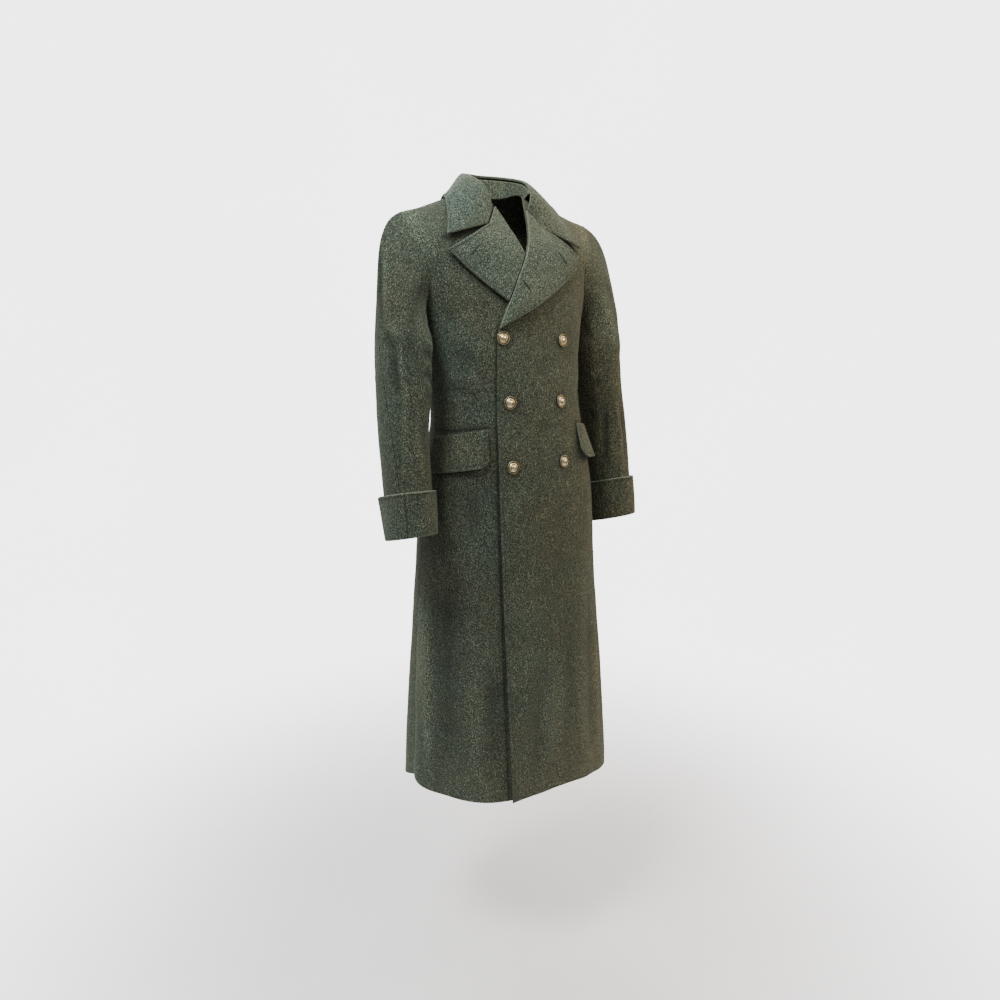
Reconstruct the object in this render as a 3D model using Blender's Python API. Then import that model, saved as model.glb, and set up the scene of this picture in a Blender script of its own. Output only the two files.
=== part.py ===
"""A double-breasted military greatcoat in its worn, hollow form.

Metres, +Z up. The coat faces -Y and the wearer's left is +X, so side = 1 is the
wearer's left and side = -1 the right. Heights in the tables are above the wearer's
ground; the origin lies SUPPORT_HEIGHT above it, between the shoulder seams where
neck and shoulders carry the coat.

The cloth is cut from one smooth trunk surface. A point of it is named by `along`,
the way from the front hem (negative) over the shoulder seam (0) to the back hem, and
by `across`, from 0 at the centre line to 1 at the flank.
"""
import math

import bmesh
import bpy
import numpy as np

# Driving sizes
SUPPORT_HEIGHT = 1.53
WALL = 0.003
DOUBLE_WALL = 0.005
SEAM_GAP = 0.0004
LAP_RISE = WALL + 0.0006
HEM_ALONG = 1.12
UNDERARM_ALONG = 0.19
BREAK_ALONG = -0.205
NAPE_ALONG = 0.045

# Level of the two sides: the left side of the chest and the left sleeve hang lower
LEAN = 0.055
LEAN_TOP_SHARE = 0.25
LEAN_STARTS_H = (1.08, 1.30)
SHOULDER_H = 1.535

# Where the left front lies on the right one: it comes down to the trunk over these
# spans of x past the centre and of along
LAP_SIDE_FADE = (0.098, 0.150)
LAP_TOP_FADE = (-0.075, -0.015)

# Rough widths that turn a seam's gap into a share of a panel or a turn of a sleeve
PANEL_WIDTH = 0.3
SLEEVE_RADIUS = 0.05

# Sections of the trunk, from the front hem over the shoulder seam to the back hem.
# reach: how far the section runs straight across; sink: its drop there;
# flank: how far ahead or behind the flank it turns; turn_x, turn_h: pull at the flank
# Columns: along, centre_y, centre_h, reach, sink, flank, turn_x, turn_h
TRUNK = (
    (-1.12, -0.172, 0.410, 0.140, 0.000, -0.100, 0.000, 0.000),
    (-0.92, -0.171, 0.610, 0.132, 0.000, -0.096, 0.000, 0.000),
    (-0.71, -0.168, 0.820, 0.124, 0.000, -0.090, 0.000, 0.000),
    (-0.50, -0.161, 1.030, 0.112, 0.000, -0.082, 0.000, 0.000),
    (-0.33, -0.147, 1.200, 0.094, 0.000, -0.068, 0.000, 0.000),
    (-0.19, -0.131, 1.345, 0.096, 0.000, -0.066, 0.000, 0.000),
    (-0.11, -0.111, 1.425, 0.100, 0.002, -0.052, 0.005, 0.000),
    (-0.05, -0.078, 1.507, 0.102, 0.006, -0.034, 0.020, 0.006),
    (0.000, -0.004, 1.600, 0.090, 0.022, 0.000, 0.050, 0.014),
    (0.050, 0.058, 1.578, 0.100, 0.010, 0.034, 0.020, 0.006),
    (0.110, 0.083, 1.500, 0.100, 0.004, 0.054, 0.005, 0.000),
    (0.190, 0.098, 1.395, 0.098, 0.000, 0.072, 0.000, 0.000),
    (0.330, 0.072, 1.220, 0.094, 0.000, 0.064, 0.000, 0.000),
    (0.500, 0.100, 1.035, 0.104, 0.000, 0.070, 0.000, 0.000),
    (0.710, 0.113, 0.820, 0.114, 0.000, 0.074, 0.000, 0.000),
    (0.920, 0.132, 0.610, 0.122, 0.000, 0.080, 0.000, 0.000),
    (1.120, 0.156, 0.410, 0.130, 0.000, 0.088, 0.000, 0.000),
)

# The flank line, shared by front and back; above the underarm it is only construction.
# Columns: along, x, y, h
FLANK = (
    (0.00, 0.222, 0.000, 1.531),
    (0.05, 0.216, -0.003, 1.500),
    (0.11, 0.194, -0.010, 1.428),
    (0.19, 0.168, -0.020, 1.345),
    (0.33, 0.152, -0.038, 1.200),
    (0.50, 0.178, -0.030, 1.030),
    (0.71, 0.196, -0.020, 0.820),
    (0.92, 0.206, -0.010, 0.610),
    (1.12, 0.214, -0.002, 0.410),
)

# Where the front edge and, above the break, the lapel's roll line run: along, x past centre
FRONT_EDGE = (
    (-1.12, -0.073),
    (-0.92, -0.079),
    (-0.71, -0.082),
    (-0.50, -0.084),
    (-0.33, -0.079),
    (BREAK_ALONG, -0.073),
)
ROLL_LINE = (
    (BREAK_ALONG, -0.073),
    (-0.150, -0.050),
    (-0.110, -0.028),
    (-0.072, 0.000),
    (-0.030, 0.030),
    (0.000, 0.052),
)
NECKLINE_BACK = (
    (0.000, 0.052),
    (0.020, 0.047),
    (0.036, 0.030),
    (NAPE_ALONG, 0.000),
)

# The armhole's edge: inset from the flank line at the shoulder, and its scoop, in across
ARMHOLE_INSET = 0.148
ARMHOLE_SCOOP_FRONT = 0.168
ARMHOLE_SCOOP_BACK = 0.100
ARMHOLE_ROUNDING = 1.5

# The skirt is squarer at the left front and rounder at the right front: changes of reach,
# flank and flank x, for each side
SKIRT_SKEW = {
    1: (
        (-1.12, 0.046, -0.058, -0.014),
        (-0.92, 0.034, -0.038, -0.013),
        (-0.71, 0.018, -0.018, -0.006),
        (-0.50, 0.016, -0.014, 0.003),
        (-0.33, 0.000, 0.000, 0.000),
    ),
    -1: (
        (-1.12, -0.034, 0.036, -0.004),
        (-0.92, -0.022, 0.020, -0.004),
        (-0.71, -0.010, 0.010, -0.008),
        (-0.50, -0.002, 0.002, -0.005),
        (-0.33, 0.000, 0.000, 0.000),
    ),
}
# The chest and the hem stand a little to the left, over these spans of height
UPPER_DRIFT = 0.006
UPPER_DRIFT_H = (1.25, 1.45)
HEM_DRIFT = 0.008
HEM_DRIFT_H = (0.41, 1.00)

# The hem's own line: across, rise at the hem of the front, rise at the hem of the back
HEM_LINE = {
    1: (
        (0.00, 0.000, 0.000),
        (0.15, -0.002, 0.000),
        (0.30, -0.009, 0.000),
        (0.50, -0.017, -0.002),
        (0.70, -0.021, -0.008),
        (1.00, -0.021, -0.021),
    ),
    -1: (
        (0.00, -0.004, 0.000),
        (0.55, -0.009, 0.000),
        (0.80, 0.004, 0.006),
        (1.00, 0.026, 0.026),
    ),
}
HEM_LINE_START = 0.90

# Soft vertical folds of the skirt: side, front or back, across at the hem, across at the
# top, half width across, height where it starts, depth at the hem
FOLDS = (
    (1, -1, 0.72, 0.62, 0.16, 1.02, 0.016),
    (1, -1, 0.38, 0.42, 0.12, 0.90, -0.004),
    (-1, -1, 0.88, 0.86, 0.10, 0.98, 0.008),
    (-1, -1, 0.66, 0.70, 0.09, 0.90, -0.006),
    (-1, -1, 0.36, 0.40, 0.12, 0.80, 0.003),
    (1, 1, 0.30, 0.34, 0.14, 0.95, 0.010),
    (1, 1, 0.66, 0.62, 0.14, 0.98, -0.006),
    (1, 1, 0.88, 0.84, 0.10, 0.95, 0.006),
    (-1, 1, 0.34, 0.36, 0.14, 0.98, 0.011),
    (-1, 1, 0.64, 0.62, 0.13, 0.92, -0.007),
    (-1, 1, 0.86, 0.84, 0.10, 0.95, 0.007),
)

# The arm's path below the armpit. Columns: down, centre x, y, h, half width, half depth
ARM = (
    (0.00, 0.2165, -0.038, 1.300, 0.0490, 0.0620),
    (0.22, 0.2212, -0.045, 1.225, 0.0478, 0.0600),
    (0.48, 0.2285, -0.056, 1.140, 0.0440, 0.0560),
    (0.74, 0.2300, -0.070, 1.048, 0.0425, 0.0540),
    (1.00, 0.2325, -0.087, 0.956, 0.0405, 0.0510),
)

# The sleeve cap leaves the armhole outwards, a little forward and up, and settles into
# the arm; near the armhole its wall stands square to the panel's edge
CAP_FULLNESS = 0.86
CAP_SETTLE = 0.20
CAP_LEVEL = 0.65
CAP_OUTWARD = 0.4
CAP_RISE = 0.42
CAP_FORWARD = 0.15
CAP_SQUARE_WAY = 0.1
CAP_SEAM_GAPS = 1.9
FRONT_SEAM_TURN = 35.0
BACK_SEAM_TURN_TOP = 205.0
BACK_SEAM_TURN_CUFF = 140.0

# How far out the wearer's left arm hangs at a height
LEFT_ARM_SHIFT = (
    (0.92, 0.002),
    (1.08, 0.003),
    (1.17, 0.001),
    (1.25, -0.003),
    (1.33, 0.000),
    (1.55, 0.000),
)

# The sleeve's end and the cuff tilt: higher at the front, and both higher to the left
CUFF_TILT = 0.010
CUFF_TILT_START_WAY = 1.40
CUFF_LEAN = 0.16
CUFF_LEAN_X = 0.232
CUFF_LEAN_H = (0.98, 1.12)
CUFF_TOP_DOWN = 0.775
CUFF_FLARE = 0.0015
CUFF_BACK_FLARE = 0.007

# Lapels, in x past the centre line and height
GORGE_ROLL = (0.040, 1.552)
NOTCH = (0.063, 1.518)
NOTCH_SHARE = 0.28
LAPEL_PEAK = (0.1435, 1.469)
LAPEL_FOOT = (-0.060, 1.3425)
LAPEL_BELLY = 0.005
LAPEL_LIFT = 0.0030
LAPEL_ROLL = 0.0025
TUCK_START_ALONG = -0.073
TUCK_END_ALONG = -0.148
TUCK_GAP = 0.0022

# Collar. The roll edge round the neck and the neckline under it run from the gorge
# (round = 1) to the nape (round = 0); the fall's outer edge lies on the trunk.
# Columns of the roll edge: round, x, y, h; of the neckline: round, along, x;
# of the outer edge: round, along, x, lift
COLLAR_CENTRE_Y = 0.004
COLLAR_ROLL = (
    (0.00, 0.000, 0.068, 1.621),
    (0.16, 0.024, 0.064, 1.621),
    (0.32, 0.044, 0.050, 1.619),
    (0.49, 0.056, 0.025, 1.614),
    (0.66, 0.057, -0.006, 1.605),
    (0.84, 0.049, -0.036, 1.584),
)
NECKLINE = (
    (0.00, 0.0475, 0.000),
    (0.16, 0.0430, 0.021),
    (0.32, 0.0330, 0.041),
    (0.49, 0.0160, 0.053),
    (0.66, 0.0000, 0.0550),
    (0.84, -0.0110, 0.0475),
    (0.93, -0.0160, 0.0440),
)
STAND_END = 0.79
COLLAR_EDGE = (
    (0.00, 0.078, 0.000, 0.0035),
    (0.16, 0.076, 0.036, 0.0035),
    (0.32, 0.064, 0.072, 0.0030),
    (0.49, 0.037, 0.097, 0.0020),
    (0.66, -0.002, 0.114, 0.0020),
    (0.84, -0.036, 0.130, 0.0040),
)
COLLAR_TIP = (0.142, 1.490)
COLLAR_TIP_LIFT = 0.0090
COLLAR_TIP_CURL = 1.5
COLLAR_TURN_OUT = 0.010
COLLAR_TURN_UP = 0.002
COLLAR_SWELL = 0.001
COLLAR_SOFTEN = 0.0012
COLLAR_END_SLOPE = 0.3
COLLAR_EDGE_SLOPE = 0.35
STAND_SHORT = 0.0026

# Hip flaps: x at the front end, across at the back end, height, heights of the top edge.
# The flap is about FLAP_LENGTH long and stands off the front at its foot, less at the back
FLAP_FRONT_X = 0.096
FLAP_BACK_ACROSS = 0.965
FLAP_LENGTH = 0.145
FLAP_HEIGHT = 0.068
FLAP_TOP_FRONT_H = 1.162
FLAP_TOP_BACK_H = 1.141
FLAP_CORNER = 0.020
FLAP_CORNER_SHARE = 0.55
FLAP_LIFT = {1: 0.016, -1: 0.004}
FLAP_CURL = 1.4
FLAP_BACK_LIFT_SHARE = 0.1

# Buttons: x and height of each row, and the turned profile as radius and rise
BUTTON_ROWS = ((0.064, 1.320), (0.0555, 1.207), (0.057, 1.092))
BUTTON_PROFILE = (
    (0.0095, 0.0000),
    (0.0118, 0.0010),
    (0.0120, 0.0024),
    (0.0112, 0.0035),
    (0.0097, 0.0034),
    (0.0088, 0.0028),
    (0.0070, 0.0045),
    (0.0040, 0.0060),
)
BUTTON_TOP = 0.0066
BUTTON_SEGMENTS = 16

# Mesh steps
STEP = 0.002
FRONT_COLUMNS = 15
BACK_COLUMNS = 11
SKIRT_ROWS = 11
SIDE_ROWS = 5
YOKE_ROWS = 14
SKIRT_TOP_ALONG = 0.36
SLEEVE_TURNS = 26
CUFF_ROWS = 4
LAPEL_GRID = (13, 8)
COLLAR_GRID = (41, 9)
STAND_GRID = (31, 4)
FLAP_GRID = (13, 5)


def through(stations, values, at):
    """A smooth curve through values at the stations, read at each place in at."""
    stations = np.asarray(stations, float)
    values = np.asarray(values, float)
    slopes = np.gradient(values, stations, axis=0)
    at = np.clip(np.asarray(at, float), stations[0], stations[-1])
    low = np.clip(np.searchsorted(stations, at, side="right") - 1, 0, len(stations) - 2)
    span = stations[low + 1] - stations[low]
    u = (at - stations[low]) / span
    extra = (1,) * (values.ndim - 1)
    u = u.reshape(u.shape + extra)
    span = span.reshape(span.shape + extra)
    near = (1 + 2 * u) * (1 - u) ** 2 * values[low] + u * (1 - u) ** 2 * span * slopes[low]
    far = u * u * (3 - 2 * u) * values[low + 1] - u * u * (1 - u) * span * slopes[low + 1]
    return near + far


def along_table(table, at):
    """A table of two columns, read as a smooth curve at each place in at."""
    stations, values = np.transpose(table)
    return through(stations, values, at)


def smooth_step(value, start, end):
    """0 before start, 1 past end, and a soft S between them."""
    u = np.clip((value - start) / (end - start), 0.0, 1.0)
    return u * u * (3 - 2 * u)


def unit(vectors):
    """The vectors at length one."""
    return vectors / np.linalg.norm(vectors, axis=-1, keepdims=True)


def bezier(p0, p1, p2, p3, u):
    """A cubic curve from p0 to p3, pulled towards p1 and p2."""
    return (1 - u) ** 3 * p0 + 3 * (1 - u) ** 2 * u * p1 + 3 * (1 - u) * u * u * p2 + u ** 3 * p3


TRUNK_TABLE = np.array(TRUNK)
FLANK_HALF = np.array(FLANK)
FLANK_TABLE = np.concatenate([FLANK_HALF[:0:-1] * (-1, 1, 1, 1), FLANK_HALF])


def section(side, along):
    """The four control points of one side's cross section, with x counted outwards."""
    centre_y, centre_h, reach, sink, flank, turn_x, turn_h = np.moveaxis(
        through(TRUNK_TABLE[:, 0], TRUNK_TABLE[:, 1:], along), -1, 0)
    edge = through(FLANK_TABLE[:, 0], FLANK_TABLE[:, 1:], along)
    skew = np.array(SKIRT_SKEW[side])
    wider, turned, _ = np.moveaxis(through(skew[:, 0], skew[:, 1:], along), -1, 0)
    _, _, pulled = np.moveaxis(through(skew[:, 0], skew[:, 1:], -np.abs(along)), -1, 0)
    reach = reach + wider
    flank = flank + turned
    edge = edge + pulled[..., None] * np.array([1.0, 0.0, 0.0])
    zero = np.zeros_like(centre_y)
    p0 = np.stack([zero, centre_y, centre_h], -1)
    p1 = np.stack([reach, centre_y, centre_h - sink], -1)
    p2 = edge + np.stack([-turn_x, flank, turn_h], -1)
    return p0, p1, p2, edge


def across_at(side, along, x):
    """The across value where one side's section at along is x past the centre line."""
    p0, p1, p2, p3 = (p[..., 0] for p in section(side, along))
    target = np.abs(x)
    u = target / (3 * p1)
    for _ in range(8):
        slope = 3 * (1 - u) ** 2 * (p1 - p0) + 6 * (1 - u) * u * (p2 - p1) + 3 * u * u * (p3 - p2)
        u = u + (target - bezier(p0, p1, p2, p3, u)) / slope
    return np.sign(x) * u


def fold_depth(side, along, across, height):
    """How far the skirt's soft folds push the cloth outwards."""
    depth = np.zeros_like(height)
    for fold_side, face, at_hem, at_top, half, start_h, most in FOLDS:
        if fold_side != side:
            continue
        grown = smooth_step(start_h - height, 0.0, start_h - 0.41)
        middle = at_top + (at_hem - at_top) * grown
        away = (across - middle) / half
        on_face = smooth_step(along * face, 0.2, 0.4)
        depth += most * grown * on_face * np.exp(-away * away)
    return depth * smooth_step(1.0 - across, 0.0, 0.06)


def hem_rise(side, along, across):
    """How far the hem lies above its level line; it fades out up the skirt."""
    table = np.array(HEM_LINE[side])
    front, back = np.moveaxis(through(table[:, 0], table[:, 1:], across), -1, 0)
    return np.where(along < 0, front, back) * smooth_step(np.abs(along), HEM_LINE_START, HEM_ALONG)


def hang(points, sleeve=False):
    """Lower the wearer's left side of chest and sleeves a little, as the coat hangs."""
    x, y, h = np.moveaxis(points, -1, 0)
    share = LEAN_TOP_SHARE + (1 - LEAN_TOP_SHARE) * smooth_step(-y, -0.01, 0.06)
    drift = UPPER_DRIFT * smooth_step(h, *UPPER_DRIFT_H)
    if sleeve:
        drift = drift + along_table(LEFT_ARM_SHIFT, h) * smooth_step(x, 0.0, 0.1)
        low = 1.0 - smooth_step(h, *CUFF_LEAN_H)
        h = h + CUFF_LEAN * (x - np.sign(x) * CUFF_LEAN_X) * low
    else:
        drift = drift + HEM_DRIFT * (1.0 - smooth_step(h, *HEM_DRIFT_H))
        share = share * smooth_step(h, *LEAN_STARTS_H)
    return np.stack([x + drift, y, h - LEAN * x * share], -1)


def trunk_bare(side, along, across):
    """The trunk surface before the coat's hang is applied."""
    p0, p1, p2, p3 = section(side, along)
    u = np.abs(across)[..., None]
    points = bezier(p0, p1, p2, p3, u)
    outward = points[..., :2] - np.array([0.0, -0.02])
    depth = fold_depth(side, along, np.abs(across), points[..., 2])
    points[..., :2] += unit(outward) * depth[..., None]
    points[..., 2] += hem_rise(side, along, np.abs(across))
    points[..., 0] *= side * np.where(across < 0, -1.0, 1.0)
    return points


def trunk(side, along, across):
    """Points of the trunk surface, and its outward normals."""
    along, across = np.broadcast_arrays(np.asarray(along, float), np.asarray(across, float))
    ahead = hang(trunk_bare(side, along + STEP, across))
    behind = hang(trunk_bare(side, along - STEP, across))
    right = hang(trunk_bare(side, along, across + STEP))
    left = hang(trunk_bare(side, along, across - STEP))
    normals = unit(np.cross(right - left, ahead - behind)) * side
    return hang(trunk_bare(side, along, across)), normals


def on_front(side, x, height):
    """along and across of the front's point at x past the centre and at a height."""
    x, height = np.broadcast_arrays(np.asarray(x, float), np.asarray(height, float))
    along = height - SHOULDER_H
    for _ in range(30):
        reached = trunk_bare(side, along, across_at(side, along, x))[..., 2]
        along = np.minimum(along + 0.7 * (height - reached), -0.001)
    return along, across_at(side, along, x)


def closed_shell(outer, inner, wrap=False):
    """Vertices and faces of a wall between two grids; wrap joins the last column to the first."""
    rows, columns = outer.shape[:2]
    points = np.concatenate([outer.reshape(-1, 3), inner.reshape(-1, 3)])
    index = np.arange(rows * columns).reshape(rows, columns)
    far = rows * columns
    faces = []
    last = columns if wrap else columns - 1
    for i in range(rows - 1):
        for j in range(last):
            a, b = index[i, j], index[i, (j + 1) % columns]
            d, c = index[i + 1, j], index[i + 1, (j + 1) % columns]
            faces.append((a, b, c, d))
            faces.append((a + far, d + far, c + far, b + far))
    rims = []
    for j in range(last):
        k = (j + 1) % columns
        rims.append((index[0, j], index[0, k]))
        rims.append((index[-1, k], index[-1, j]))
    if not wrap:
        for i in range(rows - 1):
            rims.append((index[i + 1, 0], index[i, 0]))
            rims.append((index[i, -1], index[i + 1, -1]))
    faces.extend((a, a + far, b + far, b) for a, b in rims)
    return points, faces


def material(name, colour, roughness, metallic):
    """A plain finish."""
    finish = bpy.data.materials.new(name)
    finish.use_nodes = True
    shader = finish.node_tree.nodes["Principled BSDF"]
    shader.inputs["Base Color"].default_value = (*colour, 1.0)
    shader.inputs["Roughness"].default_value = roughness
    shader.inputs["Metallic"].default_value = metallic
    finish.diffuse_color = (*colour, 1.0)
    return finish


def add_piece(name, points, faces, finish, sharp=40.0):
    """A named object from vertices and faces, with its faces pointing out."""
    mesh = bpy.data.meshes.new(name)
    shifted = np.array(points, float)
    shifted[:, 2] -= SUPPORT_HEIGHT
    mesh.from_pydata(shifted.tolist(), [], [tuple(int(i) for i in face) for face in faces])
    work = bmesh.new()
    work.from_mesh(mesh)
    bmesh.ops.recalc_face_normals(work, faces=work.faces)
    work.to_mesh(mesh)
    work.free()
    mesh.shade_smooth()
    mesh.set_sharp_from_angle(angle=math.radians(sharp))
    mesh.materials.append(finish)
    piece = bpy.data.objects.new(name, mesh)
    bpy.context.scene.collection.objects.link(piece)
    return piece


def add_wall(name, outer, normals, thickness, finish, wrap=False):
    """A cloth wall of a given thickness under a grid of outer points."""
    points, faces = closed_shell(outer, outer - normals * thickness, wrap)
    return add_piece(name, points, faces, finish)


def armhole_across(along):
    """How far across the armhole's edge lies; 1 is the flank, at the underarm."""
    way = np.clip(np.abs(along) / UNDERARM_ALONG, 0.0, 1.0)
    middle = np.where(along < 0, ARMHOLE_SCOOP_FRONT, ARMHOLE_SCOOP_BACK)
    scoop = np.abs(np.sin(math.pi * way)) ** ARMHOLE_ROUNDING
    inset = np.sqrt(1 - way ** 4) * (ARMHOLE_INSET + middle * scoop)
    return 1.0 - inset


def panel_rows(upper_end):
    """The along values of a panel's rows, from its hem to its top, as positive ways."""
    skirt = np.linspace(HEM_ALONG, SKIRT_TOP_ALONG, SKIRT_ROWS)
    sides = np.linspace(SKIRT_TOP_ALONG, UNDERARM_ALONG, SIDE_ROWS)[1:]
    turns = np.linspace(0.0, math.pi / 2, YOKE_ROWS)[1:]
    yoke = upper_end + (UNDERARM_ALONG - upper_end) * np.cos(turns)
    return np.concatenate([skirt, sides, yoke])


def side_limit(along, across_gap):
    """The outer end of a panel's row: side seam below the underarm, armhole above it."""
    return np.where(np.abs(along) >= UNDERARM_ALONG, 1.0, armhole_across(along)) - across_gap


def lap_offset(along, x):
    """How far the left front is lifted off the trunk where it lies on the right front."""
    beside = 1.0 - smooth_step(x, *LAP_SIDE_FADE)
    below = 1.0 - smooth_step(along, *LAP_TOP_FADE)
    return LAP_RISE * beside * below


def front_inner_x(along):
    """x past the centre line of a front's free edge, then of its roll line."""
    return np.where(along < BREAK_ALONG, along_table(FRONT_EDGE, along), along_table(ROLL_LINE, along))


def front_surface(side, along, across, x):
    """Outer points and normals of a front panel, the left one lifted over the right."""
    points, normals = trunk(side, along, across)
    if side > 0:
        points = points + normals * lap_offset(along, x)[..., None]
    return points, normals


def front_grid(side, columns):
    """The outer grid of a front panel, hem to shoulder seam and edge to flank."""
    along = -panel_rows(SEAM_GAP / 2)[:, None]
    inner = across_at(side, along, front_inner_x(along))
    outer = side_limit(along, SEAM_GAP / 2 / PANEL_WIDTH)
    across = inner + (outer - inner) * np.linspace(0, 1, columns)[None, :]
    along = np.broadcast_to(along, across.shape)
    x = trunk_bare(side, along, across)[..., 0] * side
    return front_surface(side, along, across, x)


def back_grid(side, columns):
    """The outer grid of a back panel, hem to shoulder seam and centre seam to flank."""
    along = panel_rows(SEAM_GAP / 2)[:, None]
    inner_x = np.where(along > NAPE_ALONG, 0.0, along_table(NECKLINE_BACK, along))
    inner = across_at(side, along, np.maximum(inner_x, SEAM_GAP / 2))
    outer = side_limit(along, SEAM_GAP / 2 / PANEL_WIDTH)
    across = inner + (outer - inner) * np.linspace(0, 1, columns)[None, :]
    return trunk(side, np.broadcast_to(along, across.shape), across)


def arm_ring(down, turn):
    """A point of the sleeve below the armpit, on the left side before the hang."""
    table = np.array(ARM)
    x, y, h, half_x, half_y = np.moveaxis(through(table[:, 0], table[:, 1:], down), -1, 0)
    path = through(table[:, 0], table[:, 1:4], down + 0.01) - through(table[:, 0], table[:, 1:4], down - 0.01)
    way = unit(path)
    outwards = unit(np.array([1.0, 0, 0]) - way * way[..., :1])
    forwards = np.cross(way, outwards)
    centre = np.stack([x, y, h], -1)
    return (centre - outwards * (half_x * np.cos(turn))[..., None]
            + forwards * (half_y * np.sin(turn))[..., None]), way


def armhole_edge(turn):
    """The armhole's loop on the left: points, trunk normals and the way out into the sleeve."""
    along = -UNDERARM_ALONG * np.cos(np.mod(turn, 2 * math.pi) / 2)
    across = armhole_across(along)
    points = trunk_bare(1, along, across)
    ahead = trunk_bare(1, along + STEP, across) - trunk_bare(1, along - STEP, across)
    right = trunk_bare(1, along, across + STEP) - trunk_bare(1, along, across - STEP)
    normals = unit(np.cross(right, ahead))
    return points, normals, unit(right)


def sleeve_surface(turn, way):
    """The sleeve on the left before the hang; way runs 0 to 1 over the cap, then 1 to 2."""
    turn, way = np.broadcast_arrays(np.asarray(turn, float), np.asarray(way, float))
    edge, normals, out = armhole_edge(turn)
    top = (1 - np.cos(turn)) / 2
    aside = np.minimum(2 * np.sqrt(top), 1.0) * CAP_SEAM_GAPS
    start = edge + SEAM_GAP * (out * aside[..., None] + normals * (2 * (1 - top))[..., None])
    ring, down_way = arm_ring(np.zeros_like(turn), turn)
    chord = ring - start
    reach = np.linalg.norm(chord, axis=-1, keepdims=True)
    lateral = unit(out * (1 - CAP_OUTWARD) + np.array([CAP_OUTWARD, -CAP_FORWARD, CAP_RISE]))
    leave = chord * (1 - CAP_LEVEL * top)[..., None] + lateral * reach * (CAP_FULLNESS * top)[..., None]
    arrive = down_way * reach * (1 - CAP_SETTLE * top)[..., None]
    u = np.clip(way, 0, 1)[..., None]
    cap = ((1 + 2 * u) * (1 - u) ** 2 * start + u * (1 - u) ** 2 * leave
           + u * u * (3 - 2 * u) * ring - u * u * (1 - u) * arrive)
    arm, _ = arm_ring(np.clip(way - 1, 0, 1), turn)
    arm[..., 2] += CUFF_TILT * np.sin(turn) * smooth_step(way, CUFF_TILT_START_WAY, CUFF_TOP_DOWN + 1)
    return np.where(way[..., None] <= 1, cap, arm)


def sleeve_grid(side, turn, way):
    """Outer points and normals of a sleeve over a grid of turns and ways."""
    turn, way = np.broadcast_arrays(np.asarray(turn, float), np.asarray(way, float))
    step = 0.01
    mirror = np.array([side, 1.0, 1.0])
    points = hang(sleeve_surface(turn, way) * mirror, sleeve=True)
    around = hang(sleeve_surface(turn + step, way) * mirror, True) - hang(
        sleeve_surface(turn - step, way) * mirror, True)
    low = np.maximum(way - step, 0.0)
    high = np.minimum(way + step, 2.0)
    down = hang(sleeve_surface(turn, high) * mirror, True) - hang(sleeve_surface(turn, low) * mirror, True)
    normals = unit(np.cross(down, around)) * side
    _, panel_normals, out = (item * mirror for item in armhole_edge(turn))
    facing = np.clip(2 * np.sum(normals * panel_normals, -1), 0.0, 1.0)
    tilt = np.sum(normals * out, -1) * facing * np.clip(1 - way / CAP_SQUARE_WAY, 0.0, 1.0)
    return points, unit(normals - out * tilt[..., None])


def back_seam_turn(way):
    """The turn of the sleeve's back seam, which winds forward towards the cuff."""
    share = smooth_step(way, 0.3, 1.8)
    return np.radians(BACK_SEAM_TURN_TOP + (BACK_SEAM_TURN_CUFF - BACK_SEAM_TURN_TOP) * share)


def sleeve_ways():
    """Rows of a sleeve: over the cap, then down the arm."""
    return np.concatenate([np.linspace(0, 1, 8), np.linspace(1, 2, 9)[1:]])


def make_sleeve(side, name, finish):
    """Top sleeve and under sleeve, joined at a front and a back seam."""
    ways = sleeve_ways()[:, None]
    front = math.radians(FRONT_SEAM_TURN)
    back = back_seam_turn(ways)
    gap = SEAM_GAP / 2 / SLEEVE_RADIUS
    spans = {
        "top": (front + gap, back - gap, SLEEVE_TURNS // 2 - 1),
        "under": (back + gap, front + 2 * math.pi - gap, SLEEVE_TURNS // 2 + 4),
    }
    for part, (start, end, columns) in spans.items():
        turn = start + (end - start) * np.linspace(0, 1, columns)[None, :]
        points, normals = sleeve_grid(side, turn, ways)
        add_wall(f"sleeve_{part}_{name}", points, normals, WALL, finish)


def make_cuff(side, name, finish):
    """The deep turned-back cuff: a ring clear of the sleeve's end that flares to its top."""
    turn = np.linspace(0, 2 * math.pi, SLEEVE_TURNS - 2, endpoint=False)[None, :]
    way = 1 + np.linspace(CUFF_TOP_DOWN, 1.0, CUFF_ROWS)[:, None]
    points, normals = sleeve_grid(side, turn, way)
    flare = CUFF_FLARE + CUFF_BACK_FLARE * np.clip(-np.sin(turn), 0.0, 1.0)
    rise = 2 * SEAM_GAP + flare * np.linspace(1, 0, CUFF_ROWS)[:, None]
    inner = points + normals * rise[..., None]
    add_wall(f"cuff_{name}", inner + normals * DOUBLE_WALL, normals, DOUBLE_WALL, finish, wrap=True)


def front_place(side, x, height):
    """Outer points and normals of a front at x past the centre and a height."""
    x, height = np.broadcast_arrays(np.asarray(x, float), np.asarray(height, float))
    along, across = on_front(side, x, height)
    return front_surface(side, along, across, x)


def blend(start, end, share):
    """A share of the way from one place to another."""
    return np.asarray(start) + (np.asarray(end) - np.asarray(start)) * np.asarray(share)[..., None]


def notch_line(share, corner, end):
    """The way from the gorge at the roll line, by the notch, to a lapel's or collar's point."""
    first = blend(corner, NOTCH, np.clip(share / NOTCH_SHARE, 0, 1))
    second = blend(NOTCH, end, np.clip((share - NOTCH_SHARE) / (1 - NOTCH_SHARE), 0, 1))
    return np.where((share < NOTCH_SHARE)[..., None], first, second)


def roll_point(along):
    """x past the centre and height of the roll line."""
    x = front_inner_x(along)
    across = across_at(1, along, x)
    return np.stack([x, trunk_bare(1, along, np.abs(across))[..., 2]], -1)


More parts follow.
